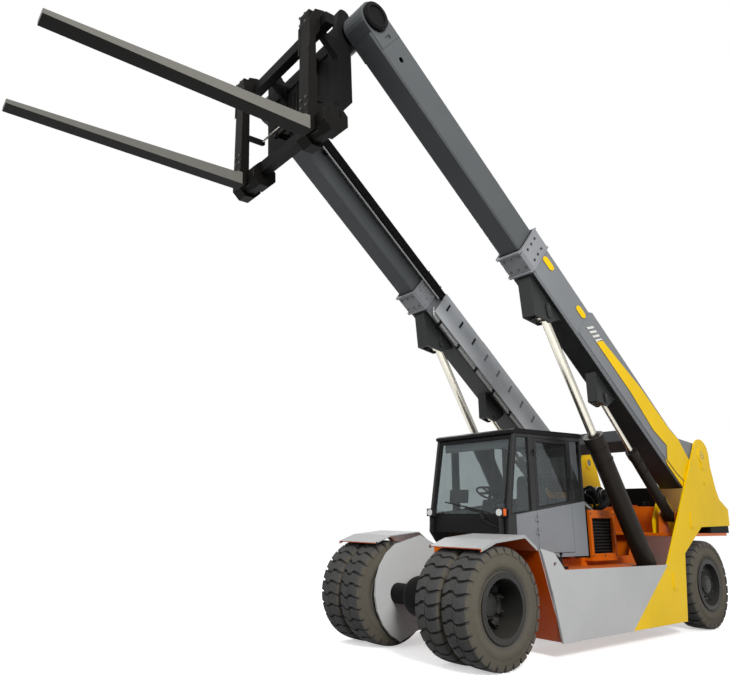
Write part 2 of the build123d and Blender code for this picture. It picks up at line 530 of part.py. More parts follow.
TRAY_Y = -(BOOM_Y - half - DOUBLER)
tray = box(1150, 4280, TRAY_Y + SEAT, TRAY_Y + 8, high - 440, high + 35)
SLOTS = 9
for k in range(SLOTS):
    ps = 4110 - 361 * k
    tray = tray - box(ps - 22, ps + 22, TRAY_Y - 5, TRAY_Y + 20, high - 205, high - 55)
tray = tray + box(1150, 4280, TRAY_Y + SEAT, TRAY_Y + 45, high - 448, high - 440)
put("hose_tray", BOOM * tray)

# inner booms
JOURNAL_R = 120
CHEEK = 8
HEAD_R = 195
for side, s in (("left", 1), ("right", -1)):
    body = tube(INNER_W, INNER_H, CHAMFER - 8, INNER_T, OUTER_MID, INNER_S0, HEAD_S - 100)
    nose = [(HEAD_S - 330, OUTER_MID - INNER_H / 2 + 20), (HEAD_S - 330, OUTER_MID + INNER_H / 2 - 10)]
    nose += arc_points(HEAD_S, HEAD_T, HEAD_R, 75, -75, 10)
    body = body + slab(nose, -INNER_W / 2 - CHEEK, INNER_W / 2 + CHEEK)
    body = body - rod_y(HEAD_S, HEAD_T, JOURNAL_R + FIT, -300, 300)
    # tail wear pads, the slot in the head plate and the round hole behind it
    body = body + pad_ring(INNER_S0, INNER_S0 + 160, INNER_W / 2 - 2, INNER_H / 2 - 2, half - OUTER_T - SEAT,
                           OUTER_H / 2 - OUTER_T - SEAT)
    for y0 in (-INNER_W / 2 - CHEEK - 5, INNER_W / 2 - INNER_T):
        body = body - slab([(HEAD_S - 285, HEAD_T - 60), (HEAD_S - 285, HEAD_T + 50), (HEAD_S - 240, HEAD_T + 60),
                            (HEAD_S - 240, HEAD_T - 50)], y0, y0 + INNER_T + CHEEK + 5)
        body = body - rod_y(HEAD_S - 549, HEAD_T - 16, 36, y0, y0 + INNER_T + CHEEK + 5)
    put("inner_boom_" + side, BOOM * Pos(0, s * BOOM_Y, 0) * body)

# head shaft: journals in the inner booms' eyes, caps outside them
boom_in = BOOM_Y - INNER_W / 2 - CHEEK
boom_out = BOOM_Y + INNER_W / 2 + CHEEK
SHAFT_R = 150
shaft = rod_y(0, 0, SHAFT_R, -boom_in + 6, boom_in - 6) + rod_y(0, 0, JOURNAL_R, -boom_out - 10, boom_out + 10)
for s in (1, -1):
    y0, y1 = (boom_out + 6, boom_out + 46) if s > 0 else (-boom_out - 46, -boom_out - 6)
    cap = rod_y(0, 0, 170, y0, y1)
    recess = rod_y(0, 0, 145, y1 - 8 if s > 0 else y0, y1 if s > 0 else y0 + 8)
    shaft = shaft + (cap - recess)
put("head_shaft", CARRIAGE * shaft)

# carriage, about the head shaft, upright. Two columns, a top bar that the forks hang on and a lower beam
COL_Y1 = boom_in - 44
COL_Y0 = COL_Y1 - 90
COL_X1 = 256
BAR_X0, BAR_X1, BAR_Z0, BAR_Z1 = 450, 560, -206, -76
BEAM_X0, BEAM_X1, BEAM_Z0, BEAM_Z1 = 420, 540, -1405, -1255
COL_LINE = [(61, -926), (216, -1110), (BEAM_X0, BEAM_Z1), (BEAM_X1 - 30, BEAM_Z1), (BEAM_X1 - 30, BEAM_Z1 + 50),
            (COL_X1, -1060), (COL_X1, 64)] + arc_points(151, 204, 85, 20, 160, 6)
COL_LINE += [(-54, 164), (-114, 94), (0, 0), (46, -106), (96, -236), (61, -316)]
BAR_HALF = BOOM_Y - 10
ARM_TOP = BAR_Z0 + 55
BEAM_HALF = BOOM_Y + 20
frame = box(BAR_X0, BAR_X1, -BAR_HALF, BAR_HALF, BAR_Z0, BAR_Z1)
frame = frame + box(BEAM_X0, BEAM_X1, -BEAM_HALF, BEAM_HALF, BEAM_Z0, BEAM_Z1)
arm_line = [(COL_X1 - 4, BAR_Z0 - 190), (BAR_X0, BAR_Z0), (BAR_X0 + 4, BAR_Z0), (BAR_X0 + 4, ARM_TOP), (COL_X1 - 4, ARM_TOP)]
post_line = [(146, -836), (COL_X1, -836), (COL_X1, -136), (146, -136)]
leg_line = [(136, -926), (COL_X1, -926), (COL_X1, -1060), (BEAM_X1 - 30, BEAM_Z1 + 50), (BEAM_X1 - 30, BEAM_Z1),
            (BEAM_X0, BEAM_Z1), (216, -1110)]
for s in (1, -1):
    column = slab(COL_LINE, COL_Y0, COL_Y1) - rod_y(0, 0, SHAFT_R + SEAT, COL_Y0 - 5, COL_Y1 + 5)
    inner_post = slab(post_line, 330, 370)
    for p in (column, slab(arm_line, COL_Y0, COL_Y1), slab(arm_line, 330, 370), inner_post):
        frame = frame + (p if s > 0 else mirror_y(p))
frame = frame + box(106, COL_X1, -COL_Y1, COL_Y1, -926, -776) + box(146, COL_X1, -COL_Y1, COL_Y1, -236, -76)
# the columns' front plates, and the web plate that closes the frame between them down to the lower beam
FACE_X = COL_X1 - 40
PLATE_Y = COL_Y0 - 100
for s in (1, -1):
    frame = frame + box(FACE_X, COL_X1, *sorted((s * PLATE_Y, s * COL_Y1)), -1060, 40)
frame = frame + box(FACE_X, FACE_X + 24, -PLATE_Y, PLATE_Y, -1060, BAR_Z1)
apron = slab([(FACE_X, -1060), (FACE_X + 24, -1060), (BEAM_X0 + 30, BEAM_Z1), (BEAM_X0, BEAM_Z1)], -COL_Y0, COL_Y0)
frame = frame + apron
put("carriage_frame", CARRIAGE * frame)

# forks: tapered blade and shank, double hook plates, and the shoes that run on the lower beam
FORK_Y0 = COL_Y0 - 35
FORK_Y1 = FORK_Y0 + 180
SHANK_X0, SHANK_X1 = 600, 720
HEEL_T, TIP_T = 145, 48
TILT_COS = math.cos(math.radians(FORK_TILT))
TILT_SIN = math.sin(math.radians(FORK_TILT))
tip_x = (FORK_REACH - FORK_TOP * TILT_SIN) / TILT_COS
HOOK_T = 25
SHOE_L = 175
CLEAR = 0.5
for side, s in (("left", 1), ("right", -1)):
    fork = slab([(SHANK_X0, -10), (SHANK_X0, FORK_TOP - HEEL_T + 50), (SHANK_X0 + 60, FORK_TOP - HEEL_T),
                 (SHANK_X1 + 500, FORK_TOP - HEEL_T + 20), (tip_x, FORK_TOP - TIP_T), (tip_x, FORK_TOP),
                 (SHANK_X1 + 60, FORK_TOP), (SHANK_X1 + 18, FORK_TOP + 18), (SHANK_X1, FORK_TOP + 60),
                 (SHANK_X1 - 30, -10)], FORK_Y0, FORK_Y1)
    hook = [(SHANK_X0 - 2, BAR_Z0 - 100), (BAR_X1 + CLEAR, BAR_Z0 - 40), (BAR_X1 + CLEAR, BAR_Z1 + CLEAR), (BAR_X0 - CLEAR, BAR_Z1 + CLEAR),
            (BAR_X0 - CLEAR, ARM_TOP + 10), (BAR_X0 - 45, ARM_TOP + 10), (BAR_X0 - 45, -60)]
    hook += arc_points(BAR_X0 + 55, -60, 100, 180, 90, 4) + [(SHANK_X0 + 20, 10), (SHANK_X1 - 20, -160), (SHANK_X1 - 12, -520)]
    for y0 in (FORK_Y0 - HOOK_T, FORK_Y1):
        fork = fork + slab(hook, y0, y0 + HOOK_T)
    saddle = [(SHANK_X0, BAR_Z0 - 40), (BAR_X1 + CLEAR, BAR_Z0 - 40), (BAR_X1 + CLEAR, BAR_Z1 + CLEAR), (BAR_X0 - CLEAR, BAR_Z1 + CLEAR),
              (BAR_X0 - CLEAR, -10), (SHANK_X0, -10)]
    fork = fork + slab(saddle, FORK_Y0, FORK_Y1)
    # shoes: eight-sided blocks slotted over the lower beam from below, on a narrower yoke
    cx, cz = (BEAM_X0 + BEAM_X1) / 2, BEAM_Z0
    shoe_line = arc_points(cx, cz, 168, 22.5, 337.5, 7)
    yoke_line = arc_points(cx, cz, 130, 22.5, 337.5, 7)
    shoe = slab(yoke_line, FORK_Y0 - 20, FORK_Y1 + 20)
    for y0 in (FORK_Y0 - 10 - SHOE_L, FORK_Y1 + 10):
        shoe = shoe + slab(shoe_line, y0, y0 + SHOE_L)
    shoe = shoe + box(cx, SHANK_X0 + 2, FORK_Y0 - 10, FORK_Y1 + 10, BEAM_Z0 - 90, BEAM_Z0 + 90)
    throat = box(BEAM_X0 - CLEAR, BEAM_X1 + CLEAR, 0, 1400, BEAM_Z0 - CLEAR, BEAM_Z0 + 400)
    rear_gap = box(BEAM_X0 - 400, BEAM_X0, 0, 1400, BEAM_Z1 - 10, BEAM_Z0 + 400)
    shoe = shoe - throat - rear_gap
    fork = fork + shoe
    put("fork_" + side, CARRIAGE * (fork if s > 0 else mirror_y(fork)))


# cylinders
def cylinder_pair(name, foot, top, bore_r, wall, rod_r, gland, head_l, rod_in, piston_l, eye_r, eye_w, foot_r, foot_w):
    """Barrel and rod on the line from foot to top, drawn along +X and turned into place."""
    dx, dz = top[0] - foot[0], top[1] - foot[1]
    length = math.hypot(dx, dz)
    angle = math.degrees(math.atan2(dz, dx))
    loc0 = Pos(foot[0], 0, foot[1]) * Rot(0, -angle, 0)

    def bar(x0, x1, r):
        return Pos((x0 + x1) / 2, 0, 0) * Rot(0, 90, 0) * Cylinder(r, x1 - x0)

    body = bar(foot_r * 0.6, gland, bore_r + wall) - bar(foot_r + 30, gland + 5, bore_r)
    head = bar(gland - head_l, gland + 25, bore_r + wall + 10) - bar(gland - head_l - 5, gland + 30, rod_r + FIT)
    body = body + head + rod_y(0, 0, foot_r, -foot_w / 2, foot_w / 2)
    rod = bar(rod_in, length - eye_r * 0.6, rod_r) + bar(rod_in, rod_in + piston_l, bore_r - FIT)
    rod = rod + rod_y(length, 0, eye_r, -eye_w / 2, eye_w / 2)
    pin_r = 45 if eye_r > 70 else 32
    rod = rod - rod_y(length, 0, pin_r + FIT, -200, 200)
    for side, s in (("left", 1), ("right", -1)):
        loc = Pos(0, s * BOOM_Y, 0) * loc0
        put(name + "_barrel_" + side, loc * body)
        put(name + "_rod_" + side, loc * rod)


cylinder_pair("lift", LIFT_FOOT, LIFT_TOP, 108, 20, 60, 2520, 130, 1830, 100, 85, 140, 100, 230)
cylinder_pair("comp", COMP_FOOT, COMP_TOP, 62, 14, 36, 1270, 90, 925, 50, 60, 100, 70, 160)

for name, solids in NODES.items():
    moved = [Pos(-MID_X, 0, 0) * s for s in solids]
    flat = []
    for m in moved:
        flat.extend(m.solids())
    shape = flat[0] if len(flat) == 1 else Compound(children=flat)
    export_step(shape, os.path.join("parts", name + ".step"))
    print(name, len(flat), [round(v, 1) for v in (*shape.bounding_box().min, *shape.bounding_box().max)])
print("nodes", len(NODES), "head", HEAD, "mid", MID_X, "lift top", LIFT_TOP, "comp top", COMP_TOP)
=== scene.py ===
"""Looks of a twin-boom telescopic handler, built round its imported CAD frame. Metres, the row's own frame."""
import json
import math
import random

import bmesh
import bpy
from mathutils import Matrix, Vector


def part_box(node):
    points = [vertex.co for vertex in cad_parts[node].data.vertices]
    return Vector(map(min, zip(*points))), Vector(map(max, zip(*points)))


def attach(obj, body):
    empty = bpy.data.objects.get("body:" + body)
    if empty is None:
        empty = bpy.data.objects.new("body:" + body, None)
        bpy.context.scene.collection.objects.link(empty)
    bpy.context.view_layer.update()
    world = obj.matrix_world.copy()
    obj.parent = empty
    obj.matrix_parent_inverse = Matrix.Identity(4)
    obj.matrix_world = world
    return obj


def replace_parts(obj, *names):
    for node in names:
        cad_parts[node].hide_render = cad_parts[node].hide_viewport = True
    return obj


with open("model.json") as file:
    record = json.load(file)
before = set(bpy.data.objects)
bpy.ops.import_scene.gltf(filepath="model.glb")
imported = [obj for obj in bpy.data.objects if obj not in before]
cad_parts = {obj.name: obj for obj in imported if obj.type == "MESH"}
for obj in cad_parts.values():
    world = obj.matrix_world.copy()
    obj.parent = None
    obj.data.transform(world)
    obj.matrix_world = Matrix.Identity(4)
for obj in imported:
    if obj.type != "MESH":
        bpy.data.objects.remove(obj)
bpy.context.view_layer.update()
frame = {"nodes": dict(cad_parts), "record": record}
rng = random.Random(11)
NODES = frame["nodes"]
JOINTS = {j["name"]: j for j in frame["record"]["behaviour"]["joints"]}


def middle(node, axis):
    low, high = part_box(node)
    return (low[axis] + high[axis]) / 2


# Driving places, read from the frame
FRONT_X = middle("front_tyres_left", 0)
REAR_X = middle("rear_tyre_left", 0)
AXLE_Z = middle("front_tyres_left", 2)
TYRE_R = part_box("front_tyres_left")[1][2] - AXLE_Z
FRONT_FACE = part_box("front_tyres_left")[1][1]
REAR_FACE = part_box("rear_tyre_left")[1][1]
PIVOT = Vector(JOINTS["boom_lift"]["pos_m"])
ALONG = Vector(JOINTS["boom_extend"]["axis"])
ACROSS = Vector((-ALONG.z, 0, ALONG.x))
HEAD = Vector(JOINTS["carriage_tilt"]["pos_m"])
BOOM_TURN = Matrix.Rotation(-math.atan2(ALONG.z, ALONG.x), 3, "Y")
BOOM_Y = middle("outer_boom_left", 1)
BOOM_MID = -0.55
SIDE_OUT = 1.235
TYRE_W = 0.345
DUAL_GAP = 0.05
RIM_R = 0.350


def on_machine(x, y, z):
    """A place given from the front axle's middle at floor level."""
    return Vector((x + FRONT_X, y, z))


def on_boom(s, y, t):
    """A place s along and t across the boom line, y to the left."""
    p = PIVOT + ALONG * s + ACROSS * t
    return Vector((p.x, y, p.z))


# Shader helpers
class Shader:
    """A material's or world's node tree: node() makes a node and sets or links its inputs by name."""

    def __init__(self, name, world=False):
        self.owner = (bpy.data.worlds if world else bpy.data.materials).new(name)
        self.owner.use_nodes = True
        self.tree = self.owner.node_tree
        self.tree.nodes.clear()
        self.out = self.tree.nodes.new("ShaderNodeOutputWorld" if world else "ShaderNodeOutputMaterial")

    def node(self, kind, settings=None, **inputs):
        n = self.tree.nodes.new("ShaderNode" + kind)
        for key, value in (settings or {}).items():
            setattr(n, key, value)
        for key, value in inputs.items():
            key = int(key[1:]) if key[0] == "i" and key[1:].isdigit() else key.replace("_", " ")
            socket = n.inputs[key]
            if isinstance(value, bpy.types.NodeSocket):
                self.tree.links.new(value, socket)
            else:
                socket.default_value = value
        return n

    def math(self, op, a, b=0.0, clamp=False):
        return self.node("Math", {"operation": op, "use_clamp": clamp}, i0=a, i1=b).outputs[0]

    def times(self, a, b, clamp=False):
        return self.math("MULTIPLY", a, b, clamp)

    def plus(self, a, b):
        return self.math("ADD", a, b)

    def less(self, a, b):
        return self.math("LESS_THAN", a, b)

    def more(self, a, b):
        return self.math("GREATER_THAN", a, b)

    def mix(self, fac, a, b):
        return self.node("Mix", {"data_type": "RGBA"}, i0=fac, i6=a, i7=b).outputs[2]

    def dot(self, a, b):
        return self.node("VectorMath", {"operation": "DOT_PRODUCT"}, i0=a, i1=b).outputs[1]

    def place(self, kind="Object"):
        return self.node("TexCoord").outputs[kind]

    def normal(self):
        return self.node("NewGeometry").outputs["Normal"]

    def split(self, vector):
        return self.node("SeparateXYZ", Vector=vector).outputs

    def noise(self, scale, detail=4.0, rough=0.6, vector=None, stretch=None):
        vector = vector or self.place()
        if stretch:
            vector = self.node("Mapping", Vector=vector, Scale=stretch).outputs[0]
        return self.node("TexNoise", Vector=vector, Scale=scale, Detail=detail, Roughness=rough).outputs[0]

    def ramp(self, value, low, high):
        return self.node("MapRange", Value=value, From_Min=low, From_Max=high).outputs[0]

    def bump(self, height, strength, distance, normal=None):
        n = self.node("Bump", Strength=strength, Distance=distance, Height=height)
        if normal:
            self.tree.links.new(normal, n.inputs["Normal"])
        return n.outputs[0]

    def surface(self, colour, rough, normal, **more):
        bsdf = self.node("BsdfPrincipled", Base_Color=colour, Roughness=rough, Normal=normal, **more)
        return self.finish(bsdf)

    def finish(self, shader):
        self.tree.links.new(shader.outputs[0], self.out.inputs[0])
        return self.owner


def rgb(r, g, b):
    """An sRGB colour, 0 to 255, as the linear one that shaders take."""
    def lin(c):
        c /= 255
        return c / 12.92 if c <= 0.04045 else ((c + 0.055) / 1.055) ** 2.4
    return (lin(r), lin(g), lin(b), 1)


M = {}


def paint(name, colour, rough=0.38, dust=0.25, wear=0.35, second=None, spec=0.3, soil=(150, 138, 120),
          rubbed=(118, 114, 108)):
    """Machine paint: slow tone changes, dust on top and low down, rubbed edges, fine orange peel.
    second is (colour, mask maker) for a piece painted in two colours."""
    s = Shader("paint_" + name)
    base = s.mix(second[1](s), colour, second[0]) if second else colour
    cloud = s.noise(0.9, 5, 0.65)
    tone = s.ramp(cloud, 0.3, 0.72)
    dark = s.node("HueSaturation", Value=0.86, Saturation=1.02, Color=base).outputs[0]
    body = s.mix(tone, dark, base)
    up = s.split(s.normal())[2]
    high = s.split(s.place())[2]
    low_down = s.ramp(high, 1.5, 0.1)
    grime = s.times(s.noise(3.1, 8, 0.72), s.plus(s.ramp(up, 0.3, 1.0), low_down))
    grime = s.times(s.ramp(grime, 0.25, 0.95), dust, clamp=True)
    body = s.mix(grime, body, rgb(*soil))
    edge = s.node("Bevel", {"samples": 4}, Radius=0.006)
    dot = s.dot(edge.outputs[0], s.normal())
    rub = s.times(s.ramp(dot, 0.985, 0.8), s.ramp(s.noise(14, 6, 0.7), 0.42, 0.68))
    rub = s.times(rub, wear, clamp=True)
    body = s.mix(rub, body, rgb(*rubbed))
    scratch = s.noise(2.6, 10, 0.8, stretch=(1, 1, 9))
    dull = s.plus(rough - 0.1, s.times(grime, 0.4))
    roughness = s.plus(s.times(scratch, 0.22), dull)
    peel = s.bump(s.noise(260, 2, 0.5), 0.05, 0.001, edge.outputs[0])
    M[name] = s.surface(body, roughness, peel, Specular_IOR_Level=spec)


def rubber(name, tread, wall, dusty, soil=(104, 100, 91)):
    """Tyre rubber: dark tread, browner sidewall, dust in the grooves and faint moulding rings."""
    s = Shader(name)
    side = s.math("ABSOLUTE", s.split(s.normal())[1])
    cloud = s.noise(5.0, 8, 0.7)
    grain = s.noise(60, 6, 0.75)
    base = s.mix(s.ramp(side, 0.8, 0.98), tread, wall)
    base = s.mix(s.times(s.ramp(cloud, 0.38, 0.75), dusty), base, rgb(*soil))
    base = s.mix(s.times(s.ramp(grain, 0.5, 0.8), 0.35), base, rgb(40, 39, 38))
    rough = s.plus(0.66, s.times(grain, 0.28))
    skin = s.bump(grain, 0.35, 0.003, s.bump(cloud, 0.2, 0.01))
    return s.surface(base, rough, skin, Specular_IOR_Level=0.15)


def metal(name, colour, rough, streak=(1, 40, 1), grime=0.2):
    s = Shader(name)
    lines = s.noise(18, 5, 0.6, stretch=streak)
    cloud = s.noise(4, 6, 0.7)
    base = s.mix(s.times(s.ramp(cloud, 0.45, 0.8), grime), colour, rgb(92, 84, 72))
    roughness = s.plus(rough, s.times(lines, 0.16))
    return s.surface(base, roughness, s.bump(lines, 0.08, 0.001), Metallic=1.0)


def plastic(name, colour, rough=0.5, grain=900, depth=0.15):
    s = Shader(name)
    skin = s.noise(grain, 2, 0.5)
    cloud = s.noise(6, 5, 0.6)
    base = s.mix(s.times(s.ramp(cloud, 0.4, 0.8), 0.16), colour, rgb(88, 84, 78))
    roughness = s.plus(rough, s.times(cloud, 0.15))
    return s.surface(base, roughness, s.bump(skin, depth, 0.0006), Specular_IOR_Level=0.3)


def glass(name, tint, haze):
    """Dusty tinted pane: mostly clear, with a film that scatters a little."""
    s = Shader(name)
    film = s.ramp(s.noise(2.2, 7, 0.7), 0.35, 0.8)
    clear = s.node("BsdfTransparent", Color=tint)
    gloss = s.node("BsdfGlossy", Color=(0.9, 0.95, 1, 1), Roughness=0.03)
    facing = s.math("POWER", s.node("LayerWeight", Blend=0.5).outputs["Facing"], 4.0)
    fresnel = s.plus(s.times(facing, 0.5), 0.03)
    pane = s.node("MixShader", i0=fresnel, i1=clear.outputs[0], i2=gloss.outputs[0])
    dust = s.node("BsdfDiffuse", Color=rgb(150, 152, 150))
    dusty = s.times(s.plus(film, 0.35), haze)
    return s.finish(s.node("MixShader", i0=dusty, i1=pane.outputs[0], i2=dust.outputs[0]))


def woven(name, colour, other):
    s = Shader(name)
    a = s.node("TexWave", {"bands_direction": "X"}, Vector=s.place(), Scale=110.0, Distortion=0.6)
    b = s.node("TexWave", {"bands_direction": "Z"}, Vector=s.place(), Scale=110.0, Distortion=0.6)
    weave = s.times(a.outputs["Fac"], b.outputs["Fac"])
    base = s.mix(s.ramp(s.noise(30, 6, 0.7), 0.35, 0.7), colour, other)
    base = s.mix(s.times(weave, 0.3), base, rgb(70, 70, 74))
    return s.surface(base, 0.86, s.bump(weave, 0.5, 0.002), Sheen_Weight=0.3)


YELLOW = rgb(248, 204, 0)
ORANGE = rgb(216, 102, 10)
GREY = rgb(188, 189, 190)
CAB_GREY = rgb(130, 134, 139)
NEAR_BLACK = rgb(22, 22, 23)
RUBBED = {"rubbed": (78, 75, 71)}
WORN = {"soil": (66, 62, 56), **RUBBED}

# the grey front part of the side plate ends on a slanted line, and the frame behind it is yellow
PANEL_TOP = (-3.443, 0.915)
PANEL_FOOT = (-2.441, 0.188)


def behind_line(s):
    x, _, z = s.split(s.place())
    slope = (PANEL_FOOT[0] - PANEL_TOP[0]) / (PANEL_FOOT[1] - PANEL_TOP[1])
    height = s.math("SUBTRACT", s.math("MINIMUM", z, PANEL_TOP[1]), PANEL_TOP[1])
    edge = s.plus(PANEL_TOP[0] + FRONT_X, s.times(height, slope))
    return s.less(x, edge)


def facing_wheel(s):
    """The mudguard's inner skin, which faces down or forward to the wheel."""
    x, y, z = s.split(s.normal())
    inward = s.math("SUBTRACT", s.times(x, 0.9), z)
    skin = s.less(s.math("ABSOLUTE", y), 0.7)
    return s.times(s.more(inward, 0.25), skin)


def above_sill(s):
    """The cab's side is grey below the windows' slanted sill and behind its corner, and black elsewhere."""
    x, _, z = s.split(s.place())
    sill = s.math("SUBTRACT", 1.545 - 0.13 * 0.86 + 0.13 * FRONT_X, s.times(x, 0.13))
    return s.math("MAXIMUM", s.more(z, sill), s.more(x, -0.955 + FRONT_X))


TIP = math.radians(3.2)


def unworn(s):
    """A fork's underside, shank and hooks keep their black paint; loads polish the blade's top and sides."""
    down = s.split(s.place("Normal"))[2]
    ahead, above = Vector((math.cos(TIP), 0, -math.sin(TIP))), Vector((math.sin(TIP), 0, math.cos(TIP)))
    x, z = s.dot(s.place(), ahead), s.dot(s.place(), above)
    back = s.less(x, HEAD.dot(ahead) + 0.69)
    shank = s.more(z, HEAD.dot(above) - 1.36)
    return s.math("MAXIMUM", s.less(down, -0.5), s.math("MAXIMUM", back, shank))


def under_boom(s):
    """The outer boom's underside and the brackets below it are near black."""
    return s.less(s.dot(s.place(), ACROSS), PIVOT.dot(ACROSS) - 0.797)


def louvre(s):
    """The slats and the core behind them are black in the coloured guard."""
    _, y, z = s.split(s.place())
    across = s.less(s.math("ABSOLUTE", y), 0.562)
    return s.times(across, s.more(z, 1.001))


paint("side", GREY, 0.36, 0.06, 0.3, spec=0.12, second=(YELLOW, behind_line))
paint("guard", rgb(166, 167, 168), 0.34, 0.22, 0.3, second=(rgb(196, 76, 6), facing_wheel))
paint("yellow", YELLOW, 0.36, 0.05, 0.3, spec=0.12)
paint("orange", ORANGE, 0.38, 0.2, 0.4)
paint("cab_side", CAB_GREY, 0.33, 0.12, 0.25, second=(rgb(24, 24, 25), above_sill))
paint("cab_grey", CAB_GREY, 0.33, 0.12, 0.25)
paint("louvre", ORANGE, 0.38, 0.2, 0.4, second=(NEAR_BLACK, louvre))
paint("cab_black", NEAR_BLACK, 0.42, 0.16, 0.3, spec=0.08, **WORN)
paint("boom_grey", rgb(124, 127, 131), 0.38, 0.1, 0.3, second=(rgb(40, 41, 42), under_boom),
      spec=0.2, soil=(96, 92, 84))
paint("boom_dark", rgb(84, 87, 89), 0.42, 0.14, 0.5, spec=0.1, soil=(84, 80, 72),
      rubbed=(104, 102, 98))
paint("collar", rgb(138, 140, 144), 0.36, 0.15, 0.4)
# painted light: the nose plates' grey is lighter than their paint, standing in for the light that falls on
# them
paint("nose", rgb(196, 198, 198), 0.36, 0.15, 0.4)
# painted light: the tray's grey is lighter than its paint, making up for the shadow the left boom casts on it
paint("tray", rgb(204, 207, 210), 0.36, 0.12, 0.3)
paint("liner", rgb(150, 152, 154), 0.6, 0.1, 0.1)
paint("black", rgb(20, 20, 21), 0.5, 0.2, 0.55, spec=0.05, **WORN)
paint("fork", rgb(108, 107, 102), 0.4, 0.3, 0.9, second=(rgb(20, 19, 17), unworn), spec=0.05,
      soil=(52, 50, 45), rubbed=(96, 92, 86))
paint("rim", rgb(36, 36, 35), 0.42, 0.4, 0.5, spec=0.2, soil=(70, 67, 60), **RUBBED)
paint("barrel", rgb(34, 30, 26), 0.42, 0.22, 0.4, spec=0.1, soil=(66, 60, 52), **RUBBED)
paint("white", rgb(226, 226, 222), 0.36, 0.2, 0.3)
M.update({
    "chrome": metal("chrome_rod", rgb(196, 192, 180), 0.16, (1, 1, 1), 0.2),
    "steel": metal("bright_steel", rgb(150, 150, 148), 0.34),
    "bolt": metal("bolt_steel", rgb(84, 84, 84), 0.42, (1, 1, 1), 0.4),
    "tyre": rubber("tyre_rubber", rgb(64, 64, 65), rgb(90, 85, 75), 0.3),
    "hose": rubber("hose_rubber", rgb(20, 20, 21), rgb(20, 20, 21), 0.15, (50, 48, 45)),
    "plastic": plastic("black_plastic", rgb(24, 24, 25)),
    "seal": plastic("rubber_seal", rgb(16, 16, 17), 0.7),
    "amber": plastic("amber_lens", rgb(226, 96, 12), 0.2, 400, 0.3),
    "red": plastic("red_lens", rgb(120, 5, 4), 0.2, 400, 0.3),
    "lens": plastic("clear_lens", rgb(214, 216, 214), 0.12, 300, 0.6),
    "glass": glass("pane_glass", (0.70, 0.73, 0.73, 1), 0.05),
    "cloth": woven("seat_cloth", rgb(36, 37, 40), rgb(50, 51, 55)),
})
# the materials of added pieces under the record's slots
SLOTS = {
    "chassis_orange": "yellow orange", "panel_grey": "cab_grey white", "boom_grey": "boom_grey tray liner",
    "dark_paint": "black bolt barrel", "wheel_black": "rim", "chrome_rod": "chrome steel", "tyre": "tyre",
    "black_plastic": "seal plastic hose", "glass": "amber red lens", "seat_cloth": "cloth",
}
SLOT = {material: slot for slot, names in SLOTS.items() for material in names.split()}
# the material of each solid; a star stands for left and right
WEARS = {
    "side": "side_plate*", "guard": "mudguards", "yellow": "boom_post*", "cab_side": "cab_side* cab_door",
    "orange": "main_frame side_floors rear_deck cylinder_brackets* hydraulic_tank",
    "louvre": "radiator_guard",
    "cab_black": "cab_front cab_rear cab_roof cab_floor", "glass": "cab_glass door_glass",
    "tray": "hose_tray",
    "collar": "boom_collar*", "nose": "nose_plates", "boom_grey": "outer_boom*", "fork": "fork*",
    "boom_dark": "inner_boom* boom_cross_beam", "barrel": "lift_barrel* comp_barrel*",
    "black": "carriage_frame head_shaft engine counterweight drive_axle steer_axle knuckle*",
    "chrome": "lift_rod* comp_rod*", "rim": "front_rims* rear_rim*", "tyre": "front_tyres* rear_tyre*",
    "plastic": "work_lamps steering_column", "cloth": "seat",
}


def nodes_of(names):
    """Meshes of the solids named in one string."""
    for n in names.split():
        for end in ("_left", "_right") if n[-1] == "*" else ("",):
            yield NODES[n.rstrip("*") + end]


for key, names in WEARS.items():
    for node in nodes_of(names):
        node.data.materials.clear()
        node.data.materials.append(M[key])


# Mesh helpers
def add_object(name, bm, material, body, smooth=35):
    """A piece from a bmesh, smoothed below the given edge angle, riding on a body."""
    mesh = bpy.data.meshes.new(name)
    bmesh.ops.recalc_face_normals(bm, faces=bm.faces)
    bm.to_mesh(mesh)
    bm.free()
    mesh.materials.append(M[material])
    obj = bpy.data.objects.new(name, mesh)
    bpy.context.scene.collection.objects.link(obj)
    mesh.shade_smooth()
    mesh.set_sharp_from_angle(angle=math.radians(smooth))
    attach(obj, body)
    return obj


def join_rings(bm, rings):
    """Quads between each ring of vertices and the next."""
    for a, b in zip(rings, rings[1:]):
        for i in range(len(a)):
            j = (i + 1) % len(a)
            bm.faces.new((a[i], a[j], b[j], b[i]))


def lathe_into(bm, profile, centre, axis="y", steps=64):
    """Turned form: profile is (radius, place along the axis)."""
    rings = []
    for r, h in profile:
        ring = []
        for i in range(steps):
            a = 2 * math.pi * i / steps
            c, w = r * math.cos(a), r * math.sin(a)
            d = {"y": (c, h, w), "x": (h, c, w), "z": (c, w, h)}[axis]
            ring.append(bm.verts.new(Vector(centre) + Vector(d)))
        rings.append(ring)
    join_rings(bm, rings + rings[:1])


def facing(s, y0, profile):
    """A profile for turning about y, its places counted from y0 towards the side s."""
    return [(r, s * (y0 + h)) for r, h in profile]


def ring_at(bm, base, axis, profile, steps=40):
    """A turned ring about any line: profile is (radius, distance along the axis from base)."""
    u = axis.orthogonal().normalized()
    v = axis.cross(u)
    rings = []
    turns = [2 * math.pi * i / steps for i in range(steps)]
    for r, h in profile:
        rings.append([bm.verts.new(base + axis * h + (u * math.cos(a) + v * math.sin(a)) * r) for a in turns])
    join_rings(bm, rings + rings[:1])


def bevelled(bm, width, segments):
    edges = [e for e in bm.edges if e.is_manifold and e.calc_face_angle(0) > math.radians(30)]
    if edges and width:
        bmesh.ops.bevel(bm, geom=edges, offset=width, segments=segments, profile=0.5, affect="EDGES",
                        clamp_overlap=True)


